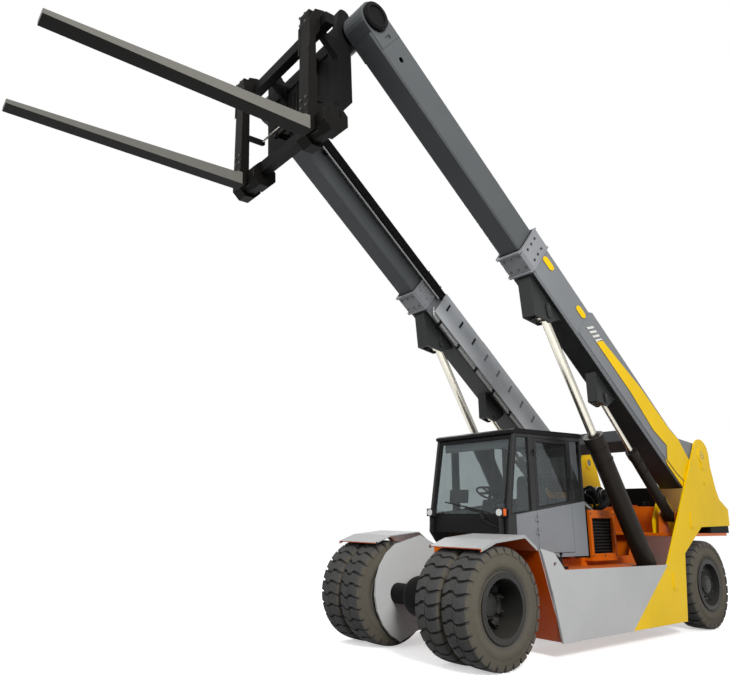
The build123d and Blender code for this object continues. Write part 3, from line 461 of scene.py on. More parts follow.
def prism_into(bm, points, vector):
    """A flat outline of 3-D points, swept by a vector."""
    first = [bm.verts.new(p) for p in points]
    last = [bm.verts.new(Vector(p) + Vector(vector)) for p in points]
    bm.faces.new(first)
    bm.faces.new(last[::-1])
    for i in range(len(points)):
        j = (i + 1) % len(points)
        bm.faces.new((first[i], first[j], last[j], last[i]))


def block_into(bm, centre, size, turn=None):
    """A box of the given size; turn is a 3x3 matrix about its centre."""
    verts = bmesh.ops.create_cube(bm, size=1.0)["verts"]
    for v in verts:
        p = Vector((v.co.x * size[0], v.co.y * size[1], v.co.z * size[2]))
        v.co = Vector(centre) + (turn @ p if turn else p)


def tube_into(bm, points, radius, sides=12, smooth_steps=0):
    """A round pipe through the points, mitred at each; smooth_steps rounds it first."""
    pts = [Vector(p) for p in points]
    for _ in range(smooth_steps):
        cut = [pts[0]]
        for a, b in zip(pts, pts[1:]):
            cut += [a.lerp(b, 0.25), a.lerp(b, 0.75)]
        pts = cut + [pts[-1]]
    rings = []
    side = None
    for i, p in enumerate(pts):
        ahead = (pts[min(i + 1, len(pts) - 1)] - pts[max(i - 1, 0)]).normalized()
        if side is None:
            side = ahead.orthogonal().normalized()
        side = (side - ahead * side.dot(ahead)).normalized()
        other = ahead.cross(side)
        ring = []
        for k in range(sides):
            a = 2 * math.pi * k / sides
            ring.append(bm.verts.new(p + (side * math.cos(a) + other * math.sin(a)) * radius))
        rings.append(ring)
    join_rings(bm, rings)
    bm.faces.new(rings[0][::-1])
    bm.faces.new(rings[-1])


def bolt_into(bm, at, out, radius, height):
    """A hexagon head on a washer, standing on a face whose outward direction is out."""
    out = Vector(out).normalized()
    u = out.orthogonal().normalized()
    v = out.cross(u)

    def disc(r0, r1, h0, h1, n, phase):
        low, high, top = [], [], []
        for k in range(n):
            a = 2 * math.pi * k / n + phase
            d = u * math.cos(a) + v * math.sin(a)
            low.append(bm.verts.new(Vector(at) + d * r0 + out * h0))
            high.append(bm.verts.new(Vector(at) + d * r0 + out * (h1 - (r0 - r1))))
            top.append(bm.verts.new(Vector(at) + d * r1 + out * h1))
        join_rings(bm, (low, high, top))
        bm.faces.new(top)
        bm.faces.new(low[::-1])

    disc(radius * 1.45, radius * 1.4, -0.001, 0.003, 16, 0)
    disc(radius, radius * 0.88, 0.0, height, 6, rng.random())


def stud_into(bm, at, s, radius, height, stud_r, start, end):
    """A wheel nut facing s along y, with its stud's end standing out of it."""
    bolt_into(bm, at, (0, s, 0), radius, height)
    tube_into(bm, [Vector(at) + Vector((0, s * d, 0)) for d in (start, end)], stud_r, 10)


# Wheels
PITCHES = 28
GROOVE = 0.030
SPLIT = 0.012
# the cross groove's course over the tread: share of the width, share of a pitch
COURSE = ((-0.5, 0.0), (-0.30, 0.02), (-0.18, 0.30), (-0.03, 0.34), (0.10, 0.06), (0.26, 0.10), (0.5, 0.28))
# the tread's section outwards: place across (share of half width), drop from the full radius
CROWN = ((0.52, 0.001), (0.80, 0.006), (0.915, 0.016), (0.985, 0.045), (1.0, 0.078))


def course_at(w):
    for (a, fa), (b, fb) in zip(COURSE, COURSE[1:]):
        if w <= b:
            return fa + (fb - fa) * (w - a) / (b - a)
    return COURSE[-1][1]


def block_tyre(bm, x, y_mid, flip):
    """A solid industrial tyre: turned carcass and two rows of chevron blocks a pitch apart."""
    half = TYRE_W / 2
    centre = (x, y_mid, AXLE_Z)
    base = TYRE_R - 0.034
    wall = [(0.306, -half + 0.022), (RIM_R + 0.012, -half + 0.026), (RIM_R + 0.022, -half + 0.016),
            (RIM_R + 0.045, -half + 0.012), (RIM_R + 0.052, -half + 0.006), (RIM_R + 0.075, -half + 0.004),
            (RIM_R + 0.128, -half + 0.001), (RIM_R + 0.134, -half + 0.005), (RIM_R + 0.172, -half + 0.006),
            (TYRE_R - 0.078, -half + 0.008), (TYRE_R - 0.052, -half + 0.016), (base, -half + 0.036)]
    profile = wall + [(r, -h) for r, h in reversed(wall)]
    lathe_into(bm, profile, centre, steps=112)

    def row(side):
        """Stations across one block row, from the middle groove to the shoulder's foot."""
        stations = [(SPLIT / 2 / half, 0.0), (0.2, 0.0005), (0.36, 0.0005), *CROWN]
        return [(side * w, drop) for w, drop in stations]

    gap = GROOVE / TYRE_R / 2
    for p in range(PITCHES):
        for side in (-1, 1):
            grid = []
            for w, drop in row(side):
                shift = course_at(w / 2)
                a0 = 2 * math.pi * (p + shift) / PITCHES + gap
                a1 = 2 * math.pi * (p + 1 + shift) / PITCHES - gap
                sink = 0.020 if abs(w) > 0.9 else 0.040
                line = []
                for q, dip in ((0.0, 1), (0.018, 0), (0.5, 0), (0.982, 0), (1.0, 1)):
                    a = a0 + (a1 - a0) * q
                    if dip:
                        a += (-1 if q == 0 else 1) * 0.0045
                    r = TYRE_R - drop - (sink if dip else 0)
                    y = w * half
                    if dip and abs(w) > 0.9:
                        y = w * half - side * 0.012
                        r = TYRE_R - drop - 0.006
                    place = (x + r * math.cos(a) * flip, y_mid + y, AXLE_Z + r * math.sin(a))
                    line.append(bm.verts.new(place))
                grid.append(line)
            hubs = [(Vector((x, v.co.y, AXLE_Z)), v.co) for v in grid[0]]
            grid.insert(0, [bm.verts.new(hub + (co - hub) * (1 - 0.04 / TYRE_R)) for hub, co in hubs])
            for a, b in zip(grid, grid[1:]):
                for k in range(len(a) - 1):
                    bm.faces.new((a[k], a[k + 1], b[k + 1], b[k]))


def tyres(name, node, body, x, flip, *places):
    bm = bmesh.new()
    for y in places:
        block_tyre(bm, x, y, flip)
    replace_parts(add_object(name, bm, "tyre", body, 40), node)


SIDES = (("left", 1), ("right", -1))
for side, s in SIDES:
    tyres("tread_front_" + side, "front_tyres_" + side, "front_wheels_" + side, FRONT_X, s,
          s * (FRONT_FACE - TYRE_W / 2), s * (FRONT_FACE - TYRE_W * 1.5 - DUAL_GAP))
    tyres("tread_rear_" + side, "rear_tyre_" + side, "rear_wheel_" + side, REAR_X, s,
          s * (REAR_FACE - TYRE_W / 2))


def rim_barrel(y0, s):
    """The wheel's well and both flanges with rolled lips, from its inner face y0 outwards."""
    out = [(0.291, 0.012), (0.293, 0.006), (RIM_R - 0.012, 0.004), (RIM_R - 0.004, 0.003),
           (RIM_R + 0.001, 0.006),
           (RIM_R + 0.002, 0.013), (RIM_R - 0.003, 0.021), (0.305, 0.0217)]
    return facing(s, y0, out + [(r, TYRE_W - h) for r, h in reversed(out)])


# lock ring and gutter inside the outer lip
LOCK_RING = ((0.291, 0.335), (0.312, 0.3345), (0.318, 0.339), (0.312, 0.3445), (0.296, 0.3445),
             (0.291, 0.341))


def front_rims(side, s):
    body = "front_wheels_" + side
    at = (FRONT_X, 0, AXLE_Z)
    inner_y = FRONT_FACE - 2 * TYRE_W - DUAL_GAP
    outer_y = FRONT_FACE - TYRE_W
    mid = outer_y - DUAL_GAP / 2
    bm = bmesh.new()
    lathe_into(bm, rim_barrel(inner_y, s), at, steps=96)
    lathe_into(bm, rim_barrel(outer_y, s), at, steps=96)
    lathe_into(bm, facing(s, outer_y, LOCK_RING), at, steps=96)
    dish = ((0.0705, -0.13), (0.19, -0.13), (0.19, -0.03), (0.296, -0.07), (0.296, 0.07), (0.270, 0.062),
            (0.235, 0.036),
            (0.215, 0.03), (0.150, 0.03), (0.144, 0.05), (0.140, 0.140), (0.128, 0.153), (0.104, 0.158),
            (0.100, 0.172),
            (0.060, 0.176), (0.001, 0.178), (0.001, 0.11), (0.0705, 0.11))
    lathe_into(bm, facing(s, mid, dish), at)
    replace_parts(add_object("wheel_centre_front_" + side, bm, "rim", body, 32), "front_rims_" + side)
    bm = bmesh.new()
    for k in range(10):
        a = 2 * math.pi * k / 10
        p = (FRONT_X + 0.182 * math.cos(a), s * (mid + 0.029), AXLE_Z + 0.182 * math.sin(a))
        stud_into(bm, p, s, 0.021, 0.026, 0.0105, 0.02, 0.045)
        # clamp lugs of the demountable rim stand further out
        turn = Matrix.Rotation(-a - math.pi / 10, 3, "Y")

        def off(r, h, z):
            return Vector((FRONT_X, s * (mid + h), AXLE_Z)) + turn @ Vector((r, 0, z))

        wedge = ((0.196, 0.052), (0.282, 0.052), (0.282, 0.098), (0.262, 0.122), (0.214, 0.122),
                 (0.196, 0.096))
        prism_into(bm, [off(r, h, -0.027) for r, h in wedge], turn @ Vector((0, 0, 0.054)))
        stud_into(bm, off(0.237, 0.120, 0), s, 0.019, 0.026, 0.0095, 0.02, 0.042)
    for k in range(6):
        a = 2 * math.pi * (k + 0.5) / 6
        p = (FRONT_X + 0.08 * math.cos(a), s * (mid + 0.173), AXLE_Z + 0.08 * math.sin(a))
        bolt_into(bm, p, (0, s, 0), 0.008, 0.007)
    add_object("wheel_nuts_front_" + side, bm, "rim", body, 30)


def rear_rim(side, s):
    body = "rear_wheel_" + side
    at = (REAR_X, 0, AXLE_Z)
    y0 = REAR_FACE - TYRE_W
    bm = bmesh.new()
    lathe_into(bm, rim_barrel(y0, s), at, steps=96)
    disc = ((0.0552, 0.06), (0.12, 0.06), (0.15, 0.15), (0.20, 0.205), (0.296, 0.215), (0.296, 0.245),
            (0.282, 0.252),
            (0.262, 0.246), (0.236, 0.246), (0.214, 0.262), (0.144, 0.263), (0.136, 0.268), (0.126, 0.295),
            (0.112, 0.305), (0.084, 0.310), (0.078, 0.3165), (0.030, 0.3185), (0.001, 0.3185), (0.001, 0.252),
            (0.0552, 0.252))
    lathe_into(bm, facing(s, y0, disc), at)
    lathe_into(bm, facing(s, y0, LOCK_RING), at, steps=96)
    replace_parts(add_object("wheel_centre_rear_" + side, bm, "rim", body, 32), "rear_rim_" + side)
    bm = bmesh.new()
    for k in range(10):
        a = 2 * math.pi * k / 10
        p = (REAR_X + 0.174 * math.cos(a), s * (y0 + 0.262), AXLE_Z + 0.174 * math.sin(a))
        stud_into(bm, p, s, 0.019, 0.022, 0.0095, 0.018, 0.040)
        # hand holes' raised rims
        b = a + math.pi / 10
        q = (REAR_X + 0.262 * math.cos(b), s * (y0 + 0.250), AXLE_Z + 0.262 * math.sin(b))
        block_into(bm, q, (0.026, 0.012, 0.05), Matrix.Rotation(-b, 3, "Y"))
    add_object("wheel_nuts_rear_" + side, bm, "rim", body, 30)


for side, s in SIDES:
    front_rims(side, s)
    rear_rim(side, s)


def stadium(u, v, length, width, turn, steps=8):
    """A long round-ended outline about (u, v), turned by degrees."""
    pts = []
    r = width / 2
    for sign, a0 in ((1, -90), (-1, 90)):
        for k in range(steps + 1):
            a = math.radians(a0 + 180 * k / steps)
            pts.append((sign * (length / 2 - r) + r * math.cos(a), r * math.sin(a)))
    c, w = math.cos(math.radians(turn)), math.sin(math.radians(turn))
    return [(u + p * c - q * w, v + p * w + q * c) for p, q in pts]


# Marks on both booms' outer faces, as thin paint films; places are along and across the boom line
BOOM_OUT = BOOM_Y + 0.185
SKIN_OUT = BOOM_OUT + 0.010
TAIL = ((2.95, -0.564), (2.867, -0.425), (1.80, -0.297), (0.90, -0.275), (0.62, -0.225), (0.25, -0.29),
        (0.0, -0.33),
        (-0.1, -0.45), (0.12, -0.672), (0.43, -0.735), (0.74, -0.746), (0.842, -0.560), (1.242, -0.618),
        (1.958, -0.559))
HEEL = ((0.18, -0.797), (0.18, -0.69), (0.43, -0.742), (0.78, -0.753), (0.70, -0.797))
BAR = ((3.225, -0.565), (3.125, -0.42), (3.083, -0.42), (3.183, -0.565))


def pill(s0, s1, t0, t1):
    """A slanted bar with round ends."""
    mid = (t0 + t1) / 2
    return [(a - 0.35 * (b - mid), b) for a, b in stadium((s0 + s1) / 2, mid, s1 - s0, t1 - t0, 0)]


def film(name, material, s, outlines):
    bm = bmesh.new()
    for y, places in outlines:
        prism_into(bm, [on_boom(a, s * (y - 0.0005), b) for a, b in places], Vector((0, s * 0.0012, 0)))
    add_object(name, bm, material, "boom", 20)


for side, s in SIDES:
    pills = pill(4.16, 4.40, -0.505, -0.395), pill(3.305, 3.53, -0.51, -0.40)
    film("stripe_" + side, "yellow", s, ((BOOM_OUT, pills[0]), (BOOM_OUT, pills[1]), (SKIN_OUT, TAIL),
                                         (BOOM_OUT, HEEL)))
    film("bars_" + side, "white", s, [(SKIN_OUT, [(a - 0.078 * k, b) for a, b in BAR]) for k in range(4)])


# Rounded edges on the solids that show
def soften(names, width, segments=2):
    for node in nodes_of(names):
        mod = node.modifiers.new("edge", "BEVEL")
        mod.width = width
        mod.segments = segments
        mod.limit_method = "ANGLE"
        mod.angle_limit = math.radians(35)
        mod.harden_normals = True
        node.data.shade_smooth()


soften("fork*", 0.008, 3)
soften("carriage_frame counterweight hydraulic_tank engine knuckle* steer_axle", 0.006)
soften("side_plate* boom_collar* nose_plates mudguards boom_post* boom_cross_beam cylinder_brackets*", 0.004)
soften("cab_roof cab_front cab_rear hose_tray work_lamps", 0.005)


def piece(name, material, body="chassis", width=0.0, smooth=35, segments=2):
    """Starts a mesh; calling what it returns with the bmesh ends it, with edges of the given width."""
    bm = bmesh.new()

    def done():
        bevelled(bm, width, segments)
        return add_object(name, bm, material, body, smooth)
    return bm, done


def pipe_into(bm, places, *form):
    """A pipe through places on the machine."""
    tube_into(bm, [on_machine(*p) for p in places], *form)


def twins_into(bm, x, y, z, size):
    """A block on the machine's left and its twin on the right."""
    for s in (1, -1):
        block_into(bm, on_machine(x, s * y, z), size)


def plate_into(bm, points, y0, y1):
    """An outline of (x, z) places on the machine, swept from y0 to y1."""
    prism_into(bm, [on_machine(x, y0, z) for x, z in points], Vector((0, y1 - y0, 0)))


def boom_plate_into(bm, points, y0, y1):
    prism_into(bm, [on_boom(a, y0, b) for a, b in points], Vector((0, y1 - y0, 0)))


def boom_bar_into(bm, a0, a1, b0, b1, y0, y1):
    boom_plate_into(bm, [(a0, b0), (a1, b0), (a1, b1), (a0, b1)], y0, y1)


# Side frames: bosses and their pins, pivot pins
BOSSES = ((-4.88, 2.39, -78), (-4.30, 1.51, -84), (-3.59, 0.70, -84))
for side, s in SIDES:
    y = s * SIDE_OUT
    bm, done = piece("bosses_" + side, "yellow", width=0.004)
    for x, z, turn in BOSSES:
        plate_into(bm, stadium(x, z, 0.235, 0.062, turn), y - s * 0.001, y + s * 0.009)
    done()
    bm, done = piece("boss_pins_" + side, "yellow", width=0.003)
    for x, z, turn in BOSSES:
        a = math.radians(turn)
        px, pz = x + 0.055 * math.cos(a), z + 0.055 * math.sin(a)
        plate_into(bm, stadium(px - 0.028, pz - 0.002, 0.13, 0.085, 12), y + s * 0.008, y + s * 0.0115)
        knob = ((0.001, 0.0112), (0.026, 0.0112), (0.024, 0.0119), (0.001, 0.0119))
        lathe_into(bm, facing(s, SIDE_OUT, knob), on_machine(px, 0, pz), steps=24)
    done()
    # pivot pin's end
    bm, done = piece("pivot_pin_" + side, "yellow", width=0.002)
    pin = ((0.001, -0.002), (0.052, -0.002), (0.052, 0.0090), (0.047, 0.0112), (0.018, 0.0112),
           (0.014, 0.0085),
           (0.001, 0.0085))
    lathe_into(bm, facing(s, SIDE_OUT, pin), (PIVOT.x, 0, PIVOT.z), steps=32)
    done()

# latch on the deck behind the left arch, with its knob, and the deck's ribs
bm, done = piece("panel_latch", "black", width=0.003)
block_into(bm, on_machine(-1.20, 1.085, 0.985), (0.075, 0.05, 0.15), Matrix.Rotation(0.35, 3, "Y"))
block_into(bm, on_machine(-1.255, 1.085, 0.955), (0.13, 0.07, 0.03))
block_into(bm, on_machine(-1.165, 1.085, 1.06), (0.09, 0.035, 0.035), Matrix.Rotation(-0.5, 3, "Y"))
pipe_into(bm, [(-1.225, 1.085, 1.05), (-1.235, 1.085, 1.10)], 0.009, 10)
lathe_into(bm, [(0.001, 1.095), (0.014, 1.098), (0.019, 1.112), (0.014, 1.127), (0.001, 1.131)],
           (on_machine(-1.238, 0, 0).x, 1.085, 0), "z", 20)
done()
bm, done = piece("deck_ribs", "orange")
for k in range(15):
    twins_into(bm, -1.162 - 0.044 * k, 0.96, 0.9012, (0.006, 0.30, 0.0028))
done()

# Boom collars: bolts that set the wear pads, three and three on each face; BOOM_MID is the booms' middle line
COLLAR_BOLTS = (4.51, 4.68)
WIPER = 4.764
for side, s in SIDES:
    bm, done = piece("collar_bolts_" + side, "bolt", "boom")
    y = s * BOOM_Y
    for face in (1, -1):
        for a in COLLAR_BOLTS:
            for d in (-0.13, 0, 0.13):
                bolt_into(bm, on_boom(a, y + face * 0.203, BOOM_MID + d), (0, face, 0), 0.013, 0.011)
    for a in COLLAR_BOLTS:
        for d in (-0.12, 0, 0.12):
            for face in (-1, 1):
                bolt_into(bm, on_boom(a, y + d, BOOM_MID + face * 0.268), face * ACROSS, 0.013, 0.011)
    done()
    # wiper lip where the inner boom runs out
    bm, done = piece("boom_wiper_" + side, "seal", "boom", 0.002)
    for q in (-1, 1):
        block_into(bm, on_boom(WIPER, y + q * 0.168, BOOM_MID), (0.010, 0.014, 0.40), BOOM_TURN)
        block_into(bm, on_boom(WIPER, y, BOOM_MID + q * 0.218), (0.010, 0.34, 0.014), BOOM_TURN)
    done()

# Clevis pins: keeper plates and their bolts
# the rods' pins on the boom line, and each pin's bracket face and radius
LIFT_PIN = (3.807, -0.935)
COMP_PIN = (2.230, -0.966)
for key, (ps, pt), face_y, r in (("lift", LIFT_PIN, 0.101, 0.045), ("comp", COMP_PIN, 0.081, 0.032)):
    for side, s in SIDES:
        bm, done = piece("keeper_" + key + "_" + side, "boom_grey", "boom", 0.003)
        for q in (-1, 1):
            y0 = s * BOOM_Y + q * (face_y - 0.001)
            boom_plate_into(bm, stadium(ps + r * 0.9, pt + r * 0.5, r * 4.6, r * 2.1, 38), y0, y0 + q * 0.012)
        done()
        bm, done = piece("keeper_bolts_" + key + "_" + side, "bolt", "boom")
        for q in (-1, 1):
            y0 = s * BOOM_Y + q * (face_y + 0.0105)
            for d in (1.7, 2.35):
                a = math.radians(38)
                place = on_boom(ps + r * d * math.cos(a), y0, pt + r * d * math.sin(a))
                bolt_into(bm, place, (0, q, 0), 0.009, 0.008)
        done()

# Hose tray: slots drawn as dark films, painted shade where its openings are, with rims; bright pipes below it
# with their clamps
TRAY_FACE = -(BOOM_Y - 0.195)
TRAY_SLOTS = [4.110 - 0.361 * k for k in range(9)]
# painted shade: thin dark films stand for the slots' openings
bm, done = piece("tray_slot_shade", "seal", "boom")
for a in TRAY_SLOTS:
    boom_plate_into(bm, [(a - 0.030, -0.509), (a + 0.022, -0.509), (a + 0.040, -0.351), (a - 0.012, -0.351)],
                    TRAY_FACE + 0.0004, TRAY_FACE + 0.0016)
done()
bm, done = piece("tray_slot_rims", "tray", "boom")
RIM_BARS = ((0.045, 0, 0.004, 0.166), (-0.037, 0, 0.004, 0.166), (0.004, 0.082, 0.086, 0.004),
            (0.004, -0.082, 0.086, 0.004))
for a in TRAY_SLOTS:
    for da, db, la, lb in RIM_BARS:
        block_into(bm, on_boom(a + da, TRAY_FACE + 0.0095, -0.43 + db), (la, 0.005, lb), BOOM_TURN)
done()
bm, done = piece("tray_pipes", "steel", "boom", smooth=60)
for k, b in enumerate((-0.772, -0.794, -0.816)):
    y = TRAY_FACE + 0.022 + 0.004 * k
    pts = [(1.16, b + 0.09), (1.26, b + 0.02), (1.36, b), (4.20, b), (4.28, b + 0.02), (4.34, b + 0.10)]
    tube_into(bm, [on_boom(a, y, t) for a, t in pts], 0.0085, 10, 2)
done()
bm, done = piece("pipe_clamps", "black", "boom", 0.002)
for k in range(6):
    block_into(bm, on_boom(1.60 + 0.5 * k, TRAY_FACE + 0.021, -0.794), (0.045, 0.040, 0.078), BOOM_TURN)
done()

# Guide rail and hose channel of the right inner boom, which runs along inside the tray when the boom goes in
RAIL_Y = -(BOOM_Y - 0.240)
bm, done = piece("hose_channel", "black", "inner_boom", 0.002)
for b0, b1, deep in ((-0.475, -0.345, 0.005), (-0.480, -0.474, 0.032), (-0.350, -0.344, 0.032)):
    boom_bar_into(bm, 4.30, 7.42, b0, b1, RAIL_Y - 0.012, RAIL_Y - 0.012 + deep)
done()
bm, done = piece("channel_pipes", "hose", "inner_boom", smooth=60)
for k in range(4):
    run = ((4.32, 0.006), (7.30, 0.006), (7.46, -0.02))
    tube_into(bm, [on_boom(a, RAIL_Y + dy, -0.452 + 0.030 * k) for a, dy in run], 0.0115, 8, 2)
done()
bm, done = piece("channel_rail", "steel", "inner_boom", 0.002)
boom_bar_into(bm, 4.36, 7.40, -0.520, -0.494, RAIL_Y - 0.012, RAIL_Y + 0.004)
done()
bm, done = piece("channel_brackets", "black", "inner_boom", 0.002)
for a in (7.12, 7.36):
    boom_bar_into(bm, a, a + 0.06, -0.525, -0.34, 0.157 - BOOM_Y, RAIL_Y - 0.011)
done()

# Cylinders: glands, ports, supply pipes, feed blocks
# foot on the machine, rod's pin, outer radius, rod's radius, mouth from the foot, pipe's radius, port block's
# size, places of the pipe's clips
CYLINDERS = (("lift", (-3.620, 0.450), LIFT_PIN, 0.128, 0.060, 2.520, 0.0085, (0.07, 0.05, 0.03),
              (0.9, 1.6)),
             ("comp", (-4.150, 1.560), COMP_PIN, 0.076, 0.036, 1.270, 0.006, (0.045, 0.035, 0.03),
              (0.7,)))
for key, foot, top, r, rod, mouth, pipe_r, port, clips in CYLINDERS:
    f = on_machine(foot[0], 0, foot[1])
    t = on_boom(top[0], 0, top[1])
    axis = (t - f).normalized()
    flat = Vector((-axis.z, 0, axis.x))
    spin = Matrix((axis, Vector((0, 1, 0)), axis.cross(Vector((0, 1, 0))))).transposed()
    barrel_body = key + "_barrels"
    for side, s in SIDES:
        base = f + Vector((0, s * BOOM_Y, 0))
        bm, done = piece("gland_ring_" + key + "_" + side, "black", barrel_body, 0.002)
        lip = ((0.004, 0.024), (0.004, 0.034), (0.020, 0.034), (0.024, 0.030), (0.024, 0.024))
        ring_at(bm, base, axis, [(rod + a, mouth + h) for a, h in lip])
        done()
        bm, done = piece("barrel_bands_" + key + "_" + side, "barrel", barrel_body)
        for h in (mouth - 0.175, mouth - 0.36, 0.34):
            band = ((-0.0005, 0), (0.0035, 0.003), (0.0035, 0.018), (-0.0005, 0.021))
            ring_at(bm, base, axis, [(r + a, h + b) for a, b in band])
        done()
        bm, done = piece("cylinder_pipes_" + key + "_" + side, "barrel", barrel_body, smooth=60)
        run = ((mouth - 0.05, 0), (mouth - 0.05, 0.034), (mouth - 0.16, 0.012), (0.42, 0.012), (0.34, 0.022))
        tube_into(bm, [base + axis * h + flat * (r + out) for h, out in run], pipe_r, 10, 2)
        done()
        bm, done = piece("cylinder_blocks_" + key + "_" + side, "black", barrel_body, 0.003)
        for h in (mouth - 0.05, 0.31):
            block_into(bm, base + axis * h + flat * (r + 0.012), port, spin)
        for h in clips:
            block_into(bm, base + axis * h + flat * (r + 0.006), (0.03, 0.04, 0.026), spin)
        done()


# Cab's inside: stuffed seat on its suspension, arm consoles, monitor, sun strip
def pad_into(bm, at, across, up, out, w, h, thick, crown, channels=()):
    """A stuffed cushion: crowned faces, sides pulled in between round corners, sewn channels, piped edges."""
    nu, nv = 36, 40
    at, across, up, out = (Vector(q) for q in (at, across, up, out))

    def spot(u, v, side):
        x = u * (1 - 0.035 * (1 - v * v)) * (1 - 0.09 * abs(v) ** 9)
        y = v * (1 - 0.035 * (1 - u * u)) * (1 - 0.09 * abs(u) ** 9)
        rise = crown * (1 - abs(u) ** 3) * (1 - abs(v) ** 3)
        rise -= thick * 0.16 * max(abs(u), abs(v)) ** 14
        for c in channels:
            rise -= 0.012 * math.exp(-((v - c) / 0.035) ** 2) * (1 - abs(u) ** 10)
        rise *= 1 if side > 0 else 0.35
        return at + across * (x * w / 2) + up * (y * h / 2) + out * (side * (thick / 2 + rise))

    sheets = []
    for side in (1, -1):
        sheets.append([[bm.verts.new(spot(2 * i / nu - 1, 2 * j / nv - 1, side)) for j in range(nv + 1)]
                       for i in range(nu + 1)])
    for g in sheets:
        for i in range(nu):
            for j in range(nv):
                bm.faces.new((g[i][j], g[i + 1][j], g[i + 1][j + 1], g[i][j + 1]))
    border = [(i, 0) for i in range(nu)] + [(nu, j) for j in range(nv)]
    border += [(nu - i, nv - j) for i, j in border]
    loops = [[g[i][j] for i, j in border] for g in sheets]
    join_rings(bm, loops)
    for loop in loops:
        tube_into(bm, [v.co.copy() for v in loop] + [loop[0].co.copy()], 0.006, 8)


X, Y, Z = Vector((1, 0, 0)), Vector((0, 1, 0)), Vector((0, 0, 1))
bm, done = piece("seat_cushion", "cloth", smooth=50)
pad_into(bm, on_machine(-1.925, 0, 1.452), Y, X, Z, 0.48, 0.44, 0.085, 0.022, (-0.35, 0.25))
done()
lean = Vector((-0.10, 0, 1)).normalized()
bm, done = piece("back_cushion", "cloth", smooth=50)
pad_into(bm, on_machine(-2.160, 0, 1.80), Y, lean, Vector((lean.z, 0, -lean.x)), 0.46, 0.62, 0.085, 0.024,
         (-0.45, 0.0, 0.55))
done()
bm, done = piece("seat_base", "plastic", smooth=40)
fold = [(0.001, 1.0803), (0.18, 1.0803), (0.18, 1.105), (0.168, 1.11), (0.150, 1.131)]
for k in range(1, 6):
    fold += [(0.165, 1.11 + 0.042 * k), (0.150, 1.131 + 0.042 * k)]
fold += [(0.17, 1.362), (0.21, 1.372), (0.215, 1.400), (0.001, 1.400)]
lathe_into(bm, fold, on_machine(-1.93, 0, 0), "z", 40)
block_into(bm, on_machine(-1.925, 0, 1.403), (0.42, 0.36, 0.018))
for s in (1, -1):
    pipe_into(bm, [(-2.12, s * 0.20, 1.42), (-2.20, s * 0.20, 1.50), (-2.235, s * 0.20, 2.0)], 0.014, 10, 2)
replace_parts(done(), "seat")
bm, done = piece("arm_consoles", "plastic", width=0.012, segments=3)
twins_into(bm, -1.95, 0.34, 1.60, (0.40, 0.11, 0.09))
twins_into(bm, -2.05, 0.33, 1.33, (0.10, 0.08, 0.48))
done()
bm, done = piece("joystick", "seal", smooth=50)
pipe_into(bm, [(-1.80, -0.34, 1.62), (-1.785, -0.34, 1.74)], 0.010, 10)
lathe_into(bm, [(0.001, 1.72), (0.022, 1.722), (0.026, 1.76), (0.030, 1.80), (0.024, 1.83), (0.001, 1.838)],
           on_machine(-1.783, -0.34, 0), "z", 20)
lathe_into(bm, [(0.034, 1.640), (0.028, 1.655), (0.030, 1.660), (0.018, 1.675), (0.001, 1.68), (0.001, 1.64)],
           on_machine(-1.80, -0.34, 0), "z", 20)
done()
bm, done = piece("monitor", "seal", width=0.008, segments=3)
tilt = Matrix.Rotation(0.5, 3, "Z") @ Matrix.Rotation(-0.25, 3, "Y")
block_into(bm, on_machine(-1.12, -0.42, 1.80), (0.035, 0.26, 0.18), tilt)
pipe_into(bm, [(-1.12, -0.42, 1.74), (-1.05, -0.44, 1.58), (-0.95, -0.45, 1.50)], 0.014, 10, 1)
done()
bm, done = piece("sun_strip", "liner", width=0.003)
block_into(bm, on_machine(-1.041, 0, 2.445), (0.012, 1.16, 0.11))
for k in range(3):
    block_into(bm, on_machine(-1.028, 0, 2.415 + 0.03 * k), (0.008, 1.14, 0.006))
done()
bm, done = piece("wheel_hub", "seal", width=0.004)
hub = on_machine(-1.29, 0, 1.83)
spin = Matrix.Rotation(math.radians(-25), 3, "Y")
for k in range(3):
    a = 2 * math.pi * k / 3 + 0.5
    block_into(bm, hub + spin @ Vector((0.10 * math.cos(a), 0.10 * math.sin(a), 0.012)), (0.20, 0.034, 0.010),
               spin @ Matrix.Rotation(a, 3, "Z"))
ring_at(bm, hub, spin @ Z, [(0.001, 0.004), (0.045, 0.004), (0.050, 0.018), (0.040, 0.030),
                            (0.001, 0.034)], 32)
done()


# Cab's outside: wiper, lamps' lenses and rims, pane gaskets
def front_at(y, z, off=0.0):
    return on_machine(-0.800 - (z - 1.5) * 0.2 / 1.08 + off, y, z)


bm, done = piece("wiper", "seal", smooth=50)
tube_into(bm, [front_at(0.30, 1.515, 0.03), front_at(0.22, 1.59, 0.034),
               front_at(-0.02, 1.63, 0.03)], 0.008, 8)
tube_into(bm, [front_at(0.30, 1.540, 0.03), front_at(0.18, 1.61, 0.03),
               front_at(-0.02, 1.66, 0.026)], 0.005, 8)
tube_into(bm, [front_at(0.34, 1.585, 0.014), front_at(-0.40, 1.715, 0.014)], 0.009, 8)
lathe_into(bm, [(0.001, -0.78), (0.024, -0.78), (0.022, -0.756),
                (0.001, -0.752)], on_machine(0, 0.30, 1.515), "x", 20)
pipe_into(bm, [(-0.775, 0.30, 1.50), (-0.772, 0.42, 1.44), (-0.775, 0.58, 1.40)], 0.007, 8, 1)
done()
LAMP_Y, LAMP_Z = 0.60, 1.58
bm, done = piece("lamp_lenses", "lens", width=0.006, smooth=40)
for s in (1, -1):
    lens = stadium(s * LAMP_Y, LAMP_Z, 0.094, 0.082, 0, 5)
    prism_into(bm, [on_machine(-0.7300, y, z) for y, z in lens], Vector((0.009, 0, 0)))
done()
bm, done = piece("amber_lenses", "amber", width=0.006, smooth=40)
twins_into(bm, -0.760, 0.661, 1.582, (0.050, 0.014, 0.082))
done()
bm, done = piece("lamp_rims", "seal", width=0.003)
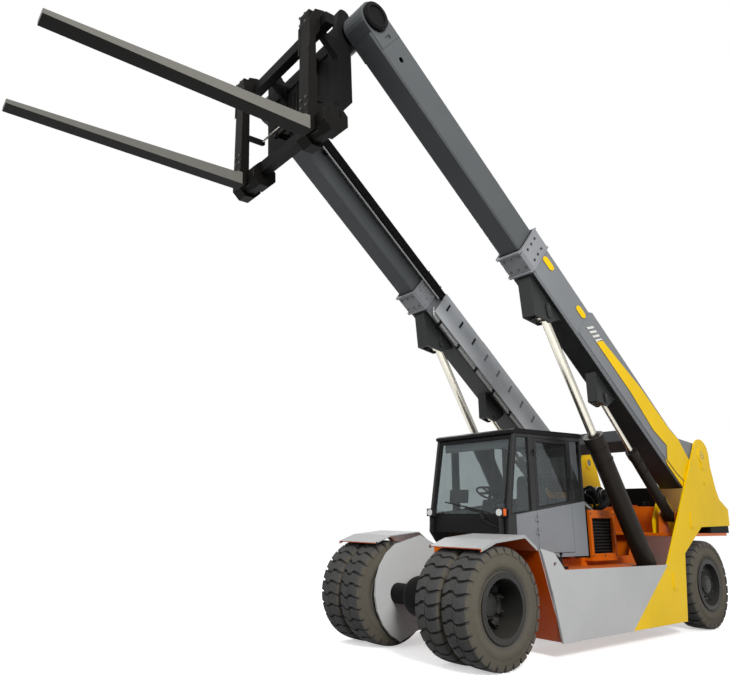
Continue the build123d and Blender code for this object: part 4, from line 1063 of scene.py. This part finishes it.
for d in (1, -1):
    twins_into(bm, -0.7285, LAMP_Y, LAMP_Z + d * 0.046, (0.012, 0.112, 0.010))
    twins_into(bm, -0.7285, LAMP_Y + d * 0.051, LAMP_Z, (0.012, 0.010, 0.10))
done()

PANE_Y = 0.676
FRONT_PANE = ((-0.860, 1.560), (-1.265, 1.615), (-1.265, 2.530), (-1.028, 2.522))
REAR_PANE = ((-2.172, 1.730), (-2.402, 1.757), (-2.402, 2.562), (-2.172, 2.546))
RIGHT_PANE = ((-1.375, 1.625), (-2.135, 1.725), (-2.135, 2.545), (-1.375, 2.520))
DOOR_PANE = ((-1.416, 1.652), (-2.098, 1.742), (-2.098, 2.505), (-1.416, 2.483))


def gasket_into(bm, s, outline):
    """A rubber bead round a side pane, whose face lies at PANE_Y."""
    pipe_into(bm, [(x, s * PANE_Y, z) for x, z in outline + outline[:1]], 0.009, 6)


bm, done = piece("pane_gaskets", "seal", width=0.002)
for s, outline in ((1, FRONT_PANE), (1, REAR_PANE), (-1, FRONT_PANE), (-1, REAR_PANE), (-1, RIGHT_PANE)):
    gasket_into(bm, s, outline)
done()
bm, done = piece("door_gasket", "seal", "door", 0.002)
gasket_into(bm, 1, DOOR_PANE)
done()

# Engine: clamps, hoses of fixed shape, elbow with bright lagging, filters
CLEANER = on_machine(-3.32, 0, 1.86)
bm, done = piece("cleaner_bands", "steel")
for y in (0.02, 0.20, 0.37):
    band = ((0.1245, 0), (0.1285, 0.002), (0.1285, 0.020), (0.1245, 0.022))
    lathe_into(bm, facing(1, y, band), CLEANER, steps=48)
for y in (0.410, 0.440):
    band = ((0.0845, 0), (0.0875, 0.001), (0.0875, 0.011), (0.0845, 0.012))
    lathe_into(bm, facing(1, y, band), CLEANER, steps=40)
done()
bm, done = piece("intake_hoses", "hose", smooth=60)
pipe_into(bm, [(-3.32, 0.46, 1.86), (-3.32, 0.50, 1.86), (-3.30, 0.53, 1.80), (-3.24, 0.50, 1.72),
               (-3.14, 0.42, 1.66),
               (-3.05, 0.34, 1.60)], 0.045, 18, 2)
pipe_into(bm, [(-3.00, 0.10, 1.60), (-3.00, 0.20, 1.78), (-3.02, 0.34, 1.86), (-3.06, 0.42, 1.80),
               (-3.10, 0.43, 1.66),
               (-3.12, 0.36, 1.54)], 0.024, 14, 2)
pipe_into(bm, [(-3.20, 0.05, 1.60), (-3.16, 0.18, 1.92), (-3.14, 0.34, 2.00), (-3.12, 0.44, 1.92),
               (-3.14, 0.46, 1.74)],
          0.020, 14, 2)
bend, end = on_machine(-3.14, 0.42, 1.66), on_machine(-3.05, 0.34, 1.60)
for k in range(9):
    ring_at(bm, bend.lerp(end, k / 8), (end - bend).normalized(),
            [(0.040, -0.004), (0.050, -0.002), (0.050, 0.002), (0.040, 0.004)], 18)
done()
bm, done = piece("exhaust_elbow", "steel", smooth=60)
pipe_into(bm, [(-3.20, 0.18, 1.40), (-3.16, 0.34, 1.50), (-3.06, 0.40, 1.62), (-2.99, 0.34, 1.72),
               (-2.99, 0.22, 1.80)],
          0.036, 18, 2)
done()
bm, done = piece("filters", "cab_grey", smooth=40)
for x in (-3.40, -3.27):
    lathe_into(bm, [(0.001, 1.30), (0.050, 1.30), (0.054, 1.31), (0.054, 1.49), (0.046, 1.505),
                    (0.001, 1.51)],
               on_machine(x, 0.38, 0), "z", 28)
done()
bm, done = piece("filter_heads", "black", width=0.004)
block_into(bm, on_machine(-3.335, 0.36, 1.53), (0.27, 0.14, 0.05))
block_into(bm, on_machine(-3.335, 0.26, 1.44), (0.20, 0.14, 0.12))
done()

# Radiator guard: bolts of its frame and the dark core behind the slats
bm, done = piece("guard_bolts", "bolt")
for s in (1, -1):
    for x in (-3.262, -2.975, -2.688):
        for z in (1.028, 1.59):
            bolt_into(bm, on_machine(x, s * 0.600, z), (0, s, 0), 0.010, 0.008)
done()
bm, done = piece("core", "seal", width=0.002)
twins_into(bm, -2.975, 0.527, 1.292, (0.52, 0.008, 0.47))
for k in range(26):
    twins_into(bm, -3.225 + 0.02 * k, 0.533, 1.292, (0.004, 0.010, 0.46))
done()


# Carriage: fork positioners, their lugs and brackets, hook bolts, shaft end rings
# the fork positioners' line before the head shaft, and the fork's middle
POSITIONER_X = 0.43
FORK_Y = 0.755


def on_carriage(x, y, z):
    """A place from the head shaft, in the carriage's own upright frame."""
    return HEAD + Vector((x * math.cos(TIP) + z * math.sin(TIP), y, z * math.cos(TIP) - x * math.sin(TIP)))


CAR_TURN = Matrix.Rotation(TIP, 3, "Y")


def y_rod(bm, z, profile, steps=32):
    """A form turned about a fork positioner's own line."""
    ring_at(bm, on_carriage(POSITIONER_X, 0, z), Vector((0, 1, 0)), profile, steps)


for side, s, z in (("left", 1, -0.955), ("right", -1, -0.865)):
    bm, done = piece("positioner_barrel_" + side, "barrel", "carriage")
    tube = ((0.018, 0.17), (0.027, 0.17), (0.029, 0.163), (0.029, 0.135), (0.026, 0.130), (0.026, -0.28),
            (0.031, -0.285), (0.031, -0.31), (0.001, -0.315), (0.001, -0.30), (0.018, -0.29))
    y_rod(bm, z, facing(s, 0, tube))
    done()
    bm, done = piece("positioner_rod_" + side, "chrome", "fork_" + side)
    y_rod(bm, z, facing(s, 0, ((0.001, 0.15), (0.013, 0.15), (0.013, 0.645), (0.001, 0.645))), 24)
    done()
    bm, done = piece("positioner_lug_" + side, "black", "fork_" + side, 0.004)
    lug = ((0.385, -0.022), (0.415, -0.040), (0.625, -0.040), (0.625, 0.036), (0.415, 0.036), (0.385, 0.022))
    prism_into(bm, [on_carriage(x, s * 0.641, z + h) for x, h in lug], Vector((0, s * 0.026, 0)))
    y_rod(bm, z, facing(s, 0, ((0.001, 0.628), (0.022, 0.628), (0.022, 0.643), (0.001, 0.643))), 6)
    done()
    bm, done = piece("positioner_brackets_" + side, "black", "carriage", 0.003)
    for y in (0.10, -0.24):
        block_into(bm, on_carriage(0.322, s * y, z), (0.166, 0.030, 0.074), CAR_TURN)
        y_rod(bm, z, facing(s, y, ((0.0255, -0.016), (0.040, -0.016), (0.040, 0.016), (0.0255, 0.016))), 28)
    done()
    bm, done = piece("positioner_pipes_" + side, "hose", "carriage", smooth=60)
    for y in (0.145, -0.280):
        run = ((0.406, 1, 0), (0.33, 1, 0), (0.262, 0.9, 0.04), (0.262, 0.6, 0.22), (0.262, 0.5, 0.62))
        tube_into(bm, [on_carriage(x, s * y * share, z + h) for x, share, h in run], 0.009, 10, 2)
    done()

# hook caps with their stop bolts, on each fork's top
for side, s in SIDES:
    bm, done = piece("fork_bolts_" + side, "bolt", "fork_" + side)
    for dy in (-0.05, 0.05):
        for z in (-1.22, -1.12, -0.16, -0.06):
            bolt_into(bm, on_carriage(0.72, s * (FORK_Y + dy), z), CAR_TURN @ Vector((1, 0, 0)), 0.012, 0.009)
    done()
    bm, done = piece("shaft_ring_" + side, "black", "carriage", 0.002)
    ring_at(bm, Vector((HEAD.x, s * 1.212, HEAD.z)), Vector((0, s, 0)),
            [(0.118, -0.004), (0.150, -0.004), (0.152, 0.004), (0.146, 0.010), (0.124, 0.010),
             (0.118, 0.004)], 56)
    done()

# Rear lamps, tank cap and gauge, nose bolts
for name, material, x, y, size, width, smooth in (
        ("tail_lamps", "red", -5.577, 0.98, (0.014, 0.10, 0.10), 0.006, 40),
        ("tail_amber", "amber", -5.577, 0.86, (0.014, 0.10, 0.10), 0.006, 40),
        ("tail_housings", "plastic", -5.574, 0.92, (0.010, 0.26, 0.13), 0.004, 35)):
    bm, done = piece(name, material, width=width, smooth=smooth)
    twins_into(bm, x, y, 1.53, size)
    done()
bm, done = piece("tank_cap", "black", width=0.002)
cap = ((0.001, 1.749), (0.052, 1.749), (0.054, 1.760), (0.046, 1.764), (0.046, 1.79), (0.040, 1.797),
       (0.001, 1.799))
lathe_into(bm, cap, on_machine(-4.66, 0.38, 0), "z", 32)
done()
bm, done = piece("tank_gauge", "lens", width=0.002)
block_into(bm, on_machine(-4.397, 0.30, 1.54), (0.012, 0.03, 0.20))
done()
bm, done = piece("nose_bolts", "bolt")
for k in range(8):
    for s in (1, -1):
        bolt_into(bm, on_machine(0.32 - 0.12 * k, s * 0.4680, 1.20), (0, s, 0), 0.012, 0.010)
done()


# Stage, light and camera
def seen_ray(s):
    """1 on a ray that the picture shows: straight from the camera, in a mirror or through glass."""
    path = s.node("LightPath")
    either = s.math("MAXIMUM", path.outputs["Is Camera Ray"], path.outputs["Is Transmission Ray"])
    return s.math("MAXIMUM", either, path.outputs["Is Glossy Ray"])


SKY_LOW = 0.12
SKY_HIGH = 0.86


def add_stage():
    bm = bmesh.new()
    bmesh.ops.create_grid(bm, x_segments=2, y_segments=2, size=60)
    mesh = bpy.data.meshes.new("floor")
    bm.to_mesh(mesh)
    bm.free()
    s = Shader("floor_paint")
    seen = seen_ray(s)
    white = s.node("BsdfDiffuse", Color=(0.9, 0.9, 0.9, 1))
    glow = s.node("Emission", Color=(1, 1, 1, 1), Strength=0.5)
    shown = s.node("AddShader", i0=white.outputs[0], i1=glow.outputs[0])
    dull = s.node("BsdfDiffuse", Color=(0.20, 0.20, 0.20, 1))
    mesh.materials.append(s.finish(s.node("MixShader", i0=seen, i1=dull.outputs[0], i2=shown.outputs[0])))
    obj = bpy.data.objects.new("floor", mesh)
    bpy.context.scene.collection.objects.link(obj)

    s = Shader("studio", world=True)
    height = s.split(s.place("Generated"))[2]
    climb = s.node("MapRange", Value=height, From_Min=0.0, From_Max=1.0, To_Min=SKY_LOW, To_Max=SKY_HIGH)
    shown = s.node("Background", Color=(1, 1, 1, 1), Strength=1.0)
    lit = s.node("Background", Color=(0.94, 0.97, 1, 1), Strength=climb.outputs[0])
    both = s.node("MixShader", i0=seen_ray(s), i1=lit.outputs[0], i2=shown.outputs[0])
    bpy.context.scene.world = s.finish(both)


def add_area(name, place, aim, size, power, colour=(1, 1, 1)):
    data = bpy.data.lights.new(name, "AREA")
    data.shape = "DISK"
    data.size = size
    data.energy = power
    data.color = colour
    obj = bpy.data.objects.new(name, data)
    bpy.context.scene.collection.objects.link(obj)
    obj.location = place
    obj.rotation_euler = (Vector(aim) - Vector(place)).to_track_quat("-Z", "Y").to_euler()


CAMERA_PLACE = Vector((5.8565, 5.837, 1.492))
CAMERA_YAW = 51.5
CAMERA_PITCH = 15.86
CAMERA_ROLL = 0.64
FOCAL_PX = 634.84
IMAGE_W = 730


def add_camera():
    data = bpy.data.cameras.new("camera")
    data.sensor_fit = "HORIZONTAL"
    data.sensor_width = 36.0
    data.lens = 36.0 * FOCAL_PX / IMAGE_W
    data.clip_end = 200
    obj = bpy.data.objects.new("camera", data)
    bpy.context.scene.collection.objects.link(obj)
    yaw, pitch, roll = (math.radians(a) for a in (CAMERA_YAW, CAMERA_PITCH, CAMERA_ROLL))
    ahead = Vector((-math.cos(yaw) * math.cos(pitch), -math.sin(yaw) * math.cos(pitch), math.sin(pitch)))
    right = ahead.cross(Vector((0, 0, 1))).normalized()
    up = right.cross(ahead)
    right2 = right * math.cos(roll) + up * math.sin(roll)
    up2 = up * math.cos(roll) - right * math.sin(roll)
    turn = Matrix((right2, up2, -ahead)).transposed()
    obj.matrix_world = Matrix.Translation(CAMERA_PLACE) @ turn.to_4x4()
    bpy.context.scene.camera = obj


add_stage()
add_area("key", (5, 11, 8.5), (-0.5, 0, 3), 4, 1750, (1, 0.985, 0.96))
add_area("back", (-9, -7, 9), (-1, 0, 3), 6, 620)
add_area("front", (12, -3, 7), (1, 0, 4), 5, 420)
add_camera()
bpy.context.scene.view_settings.view_transform = "Standard"
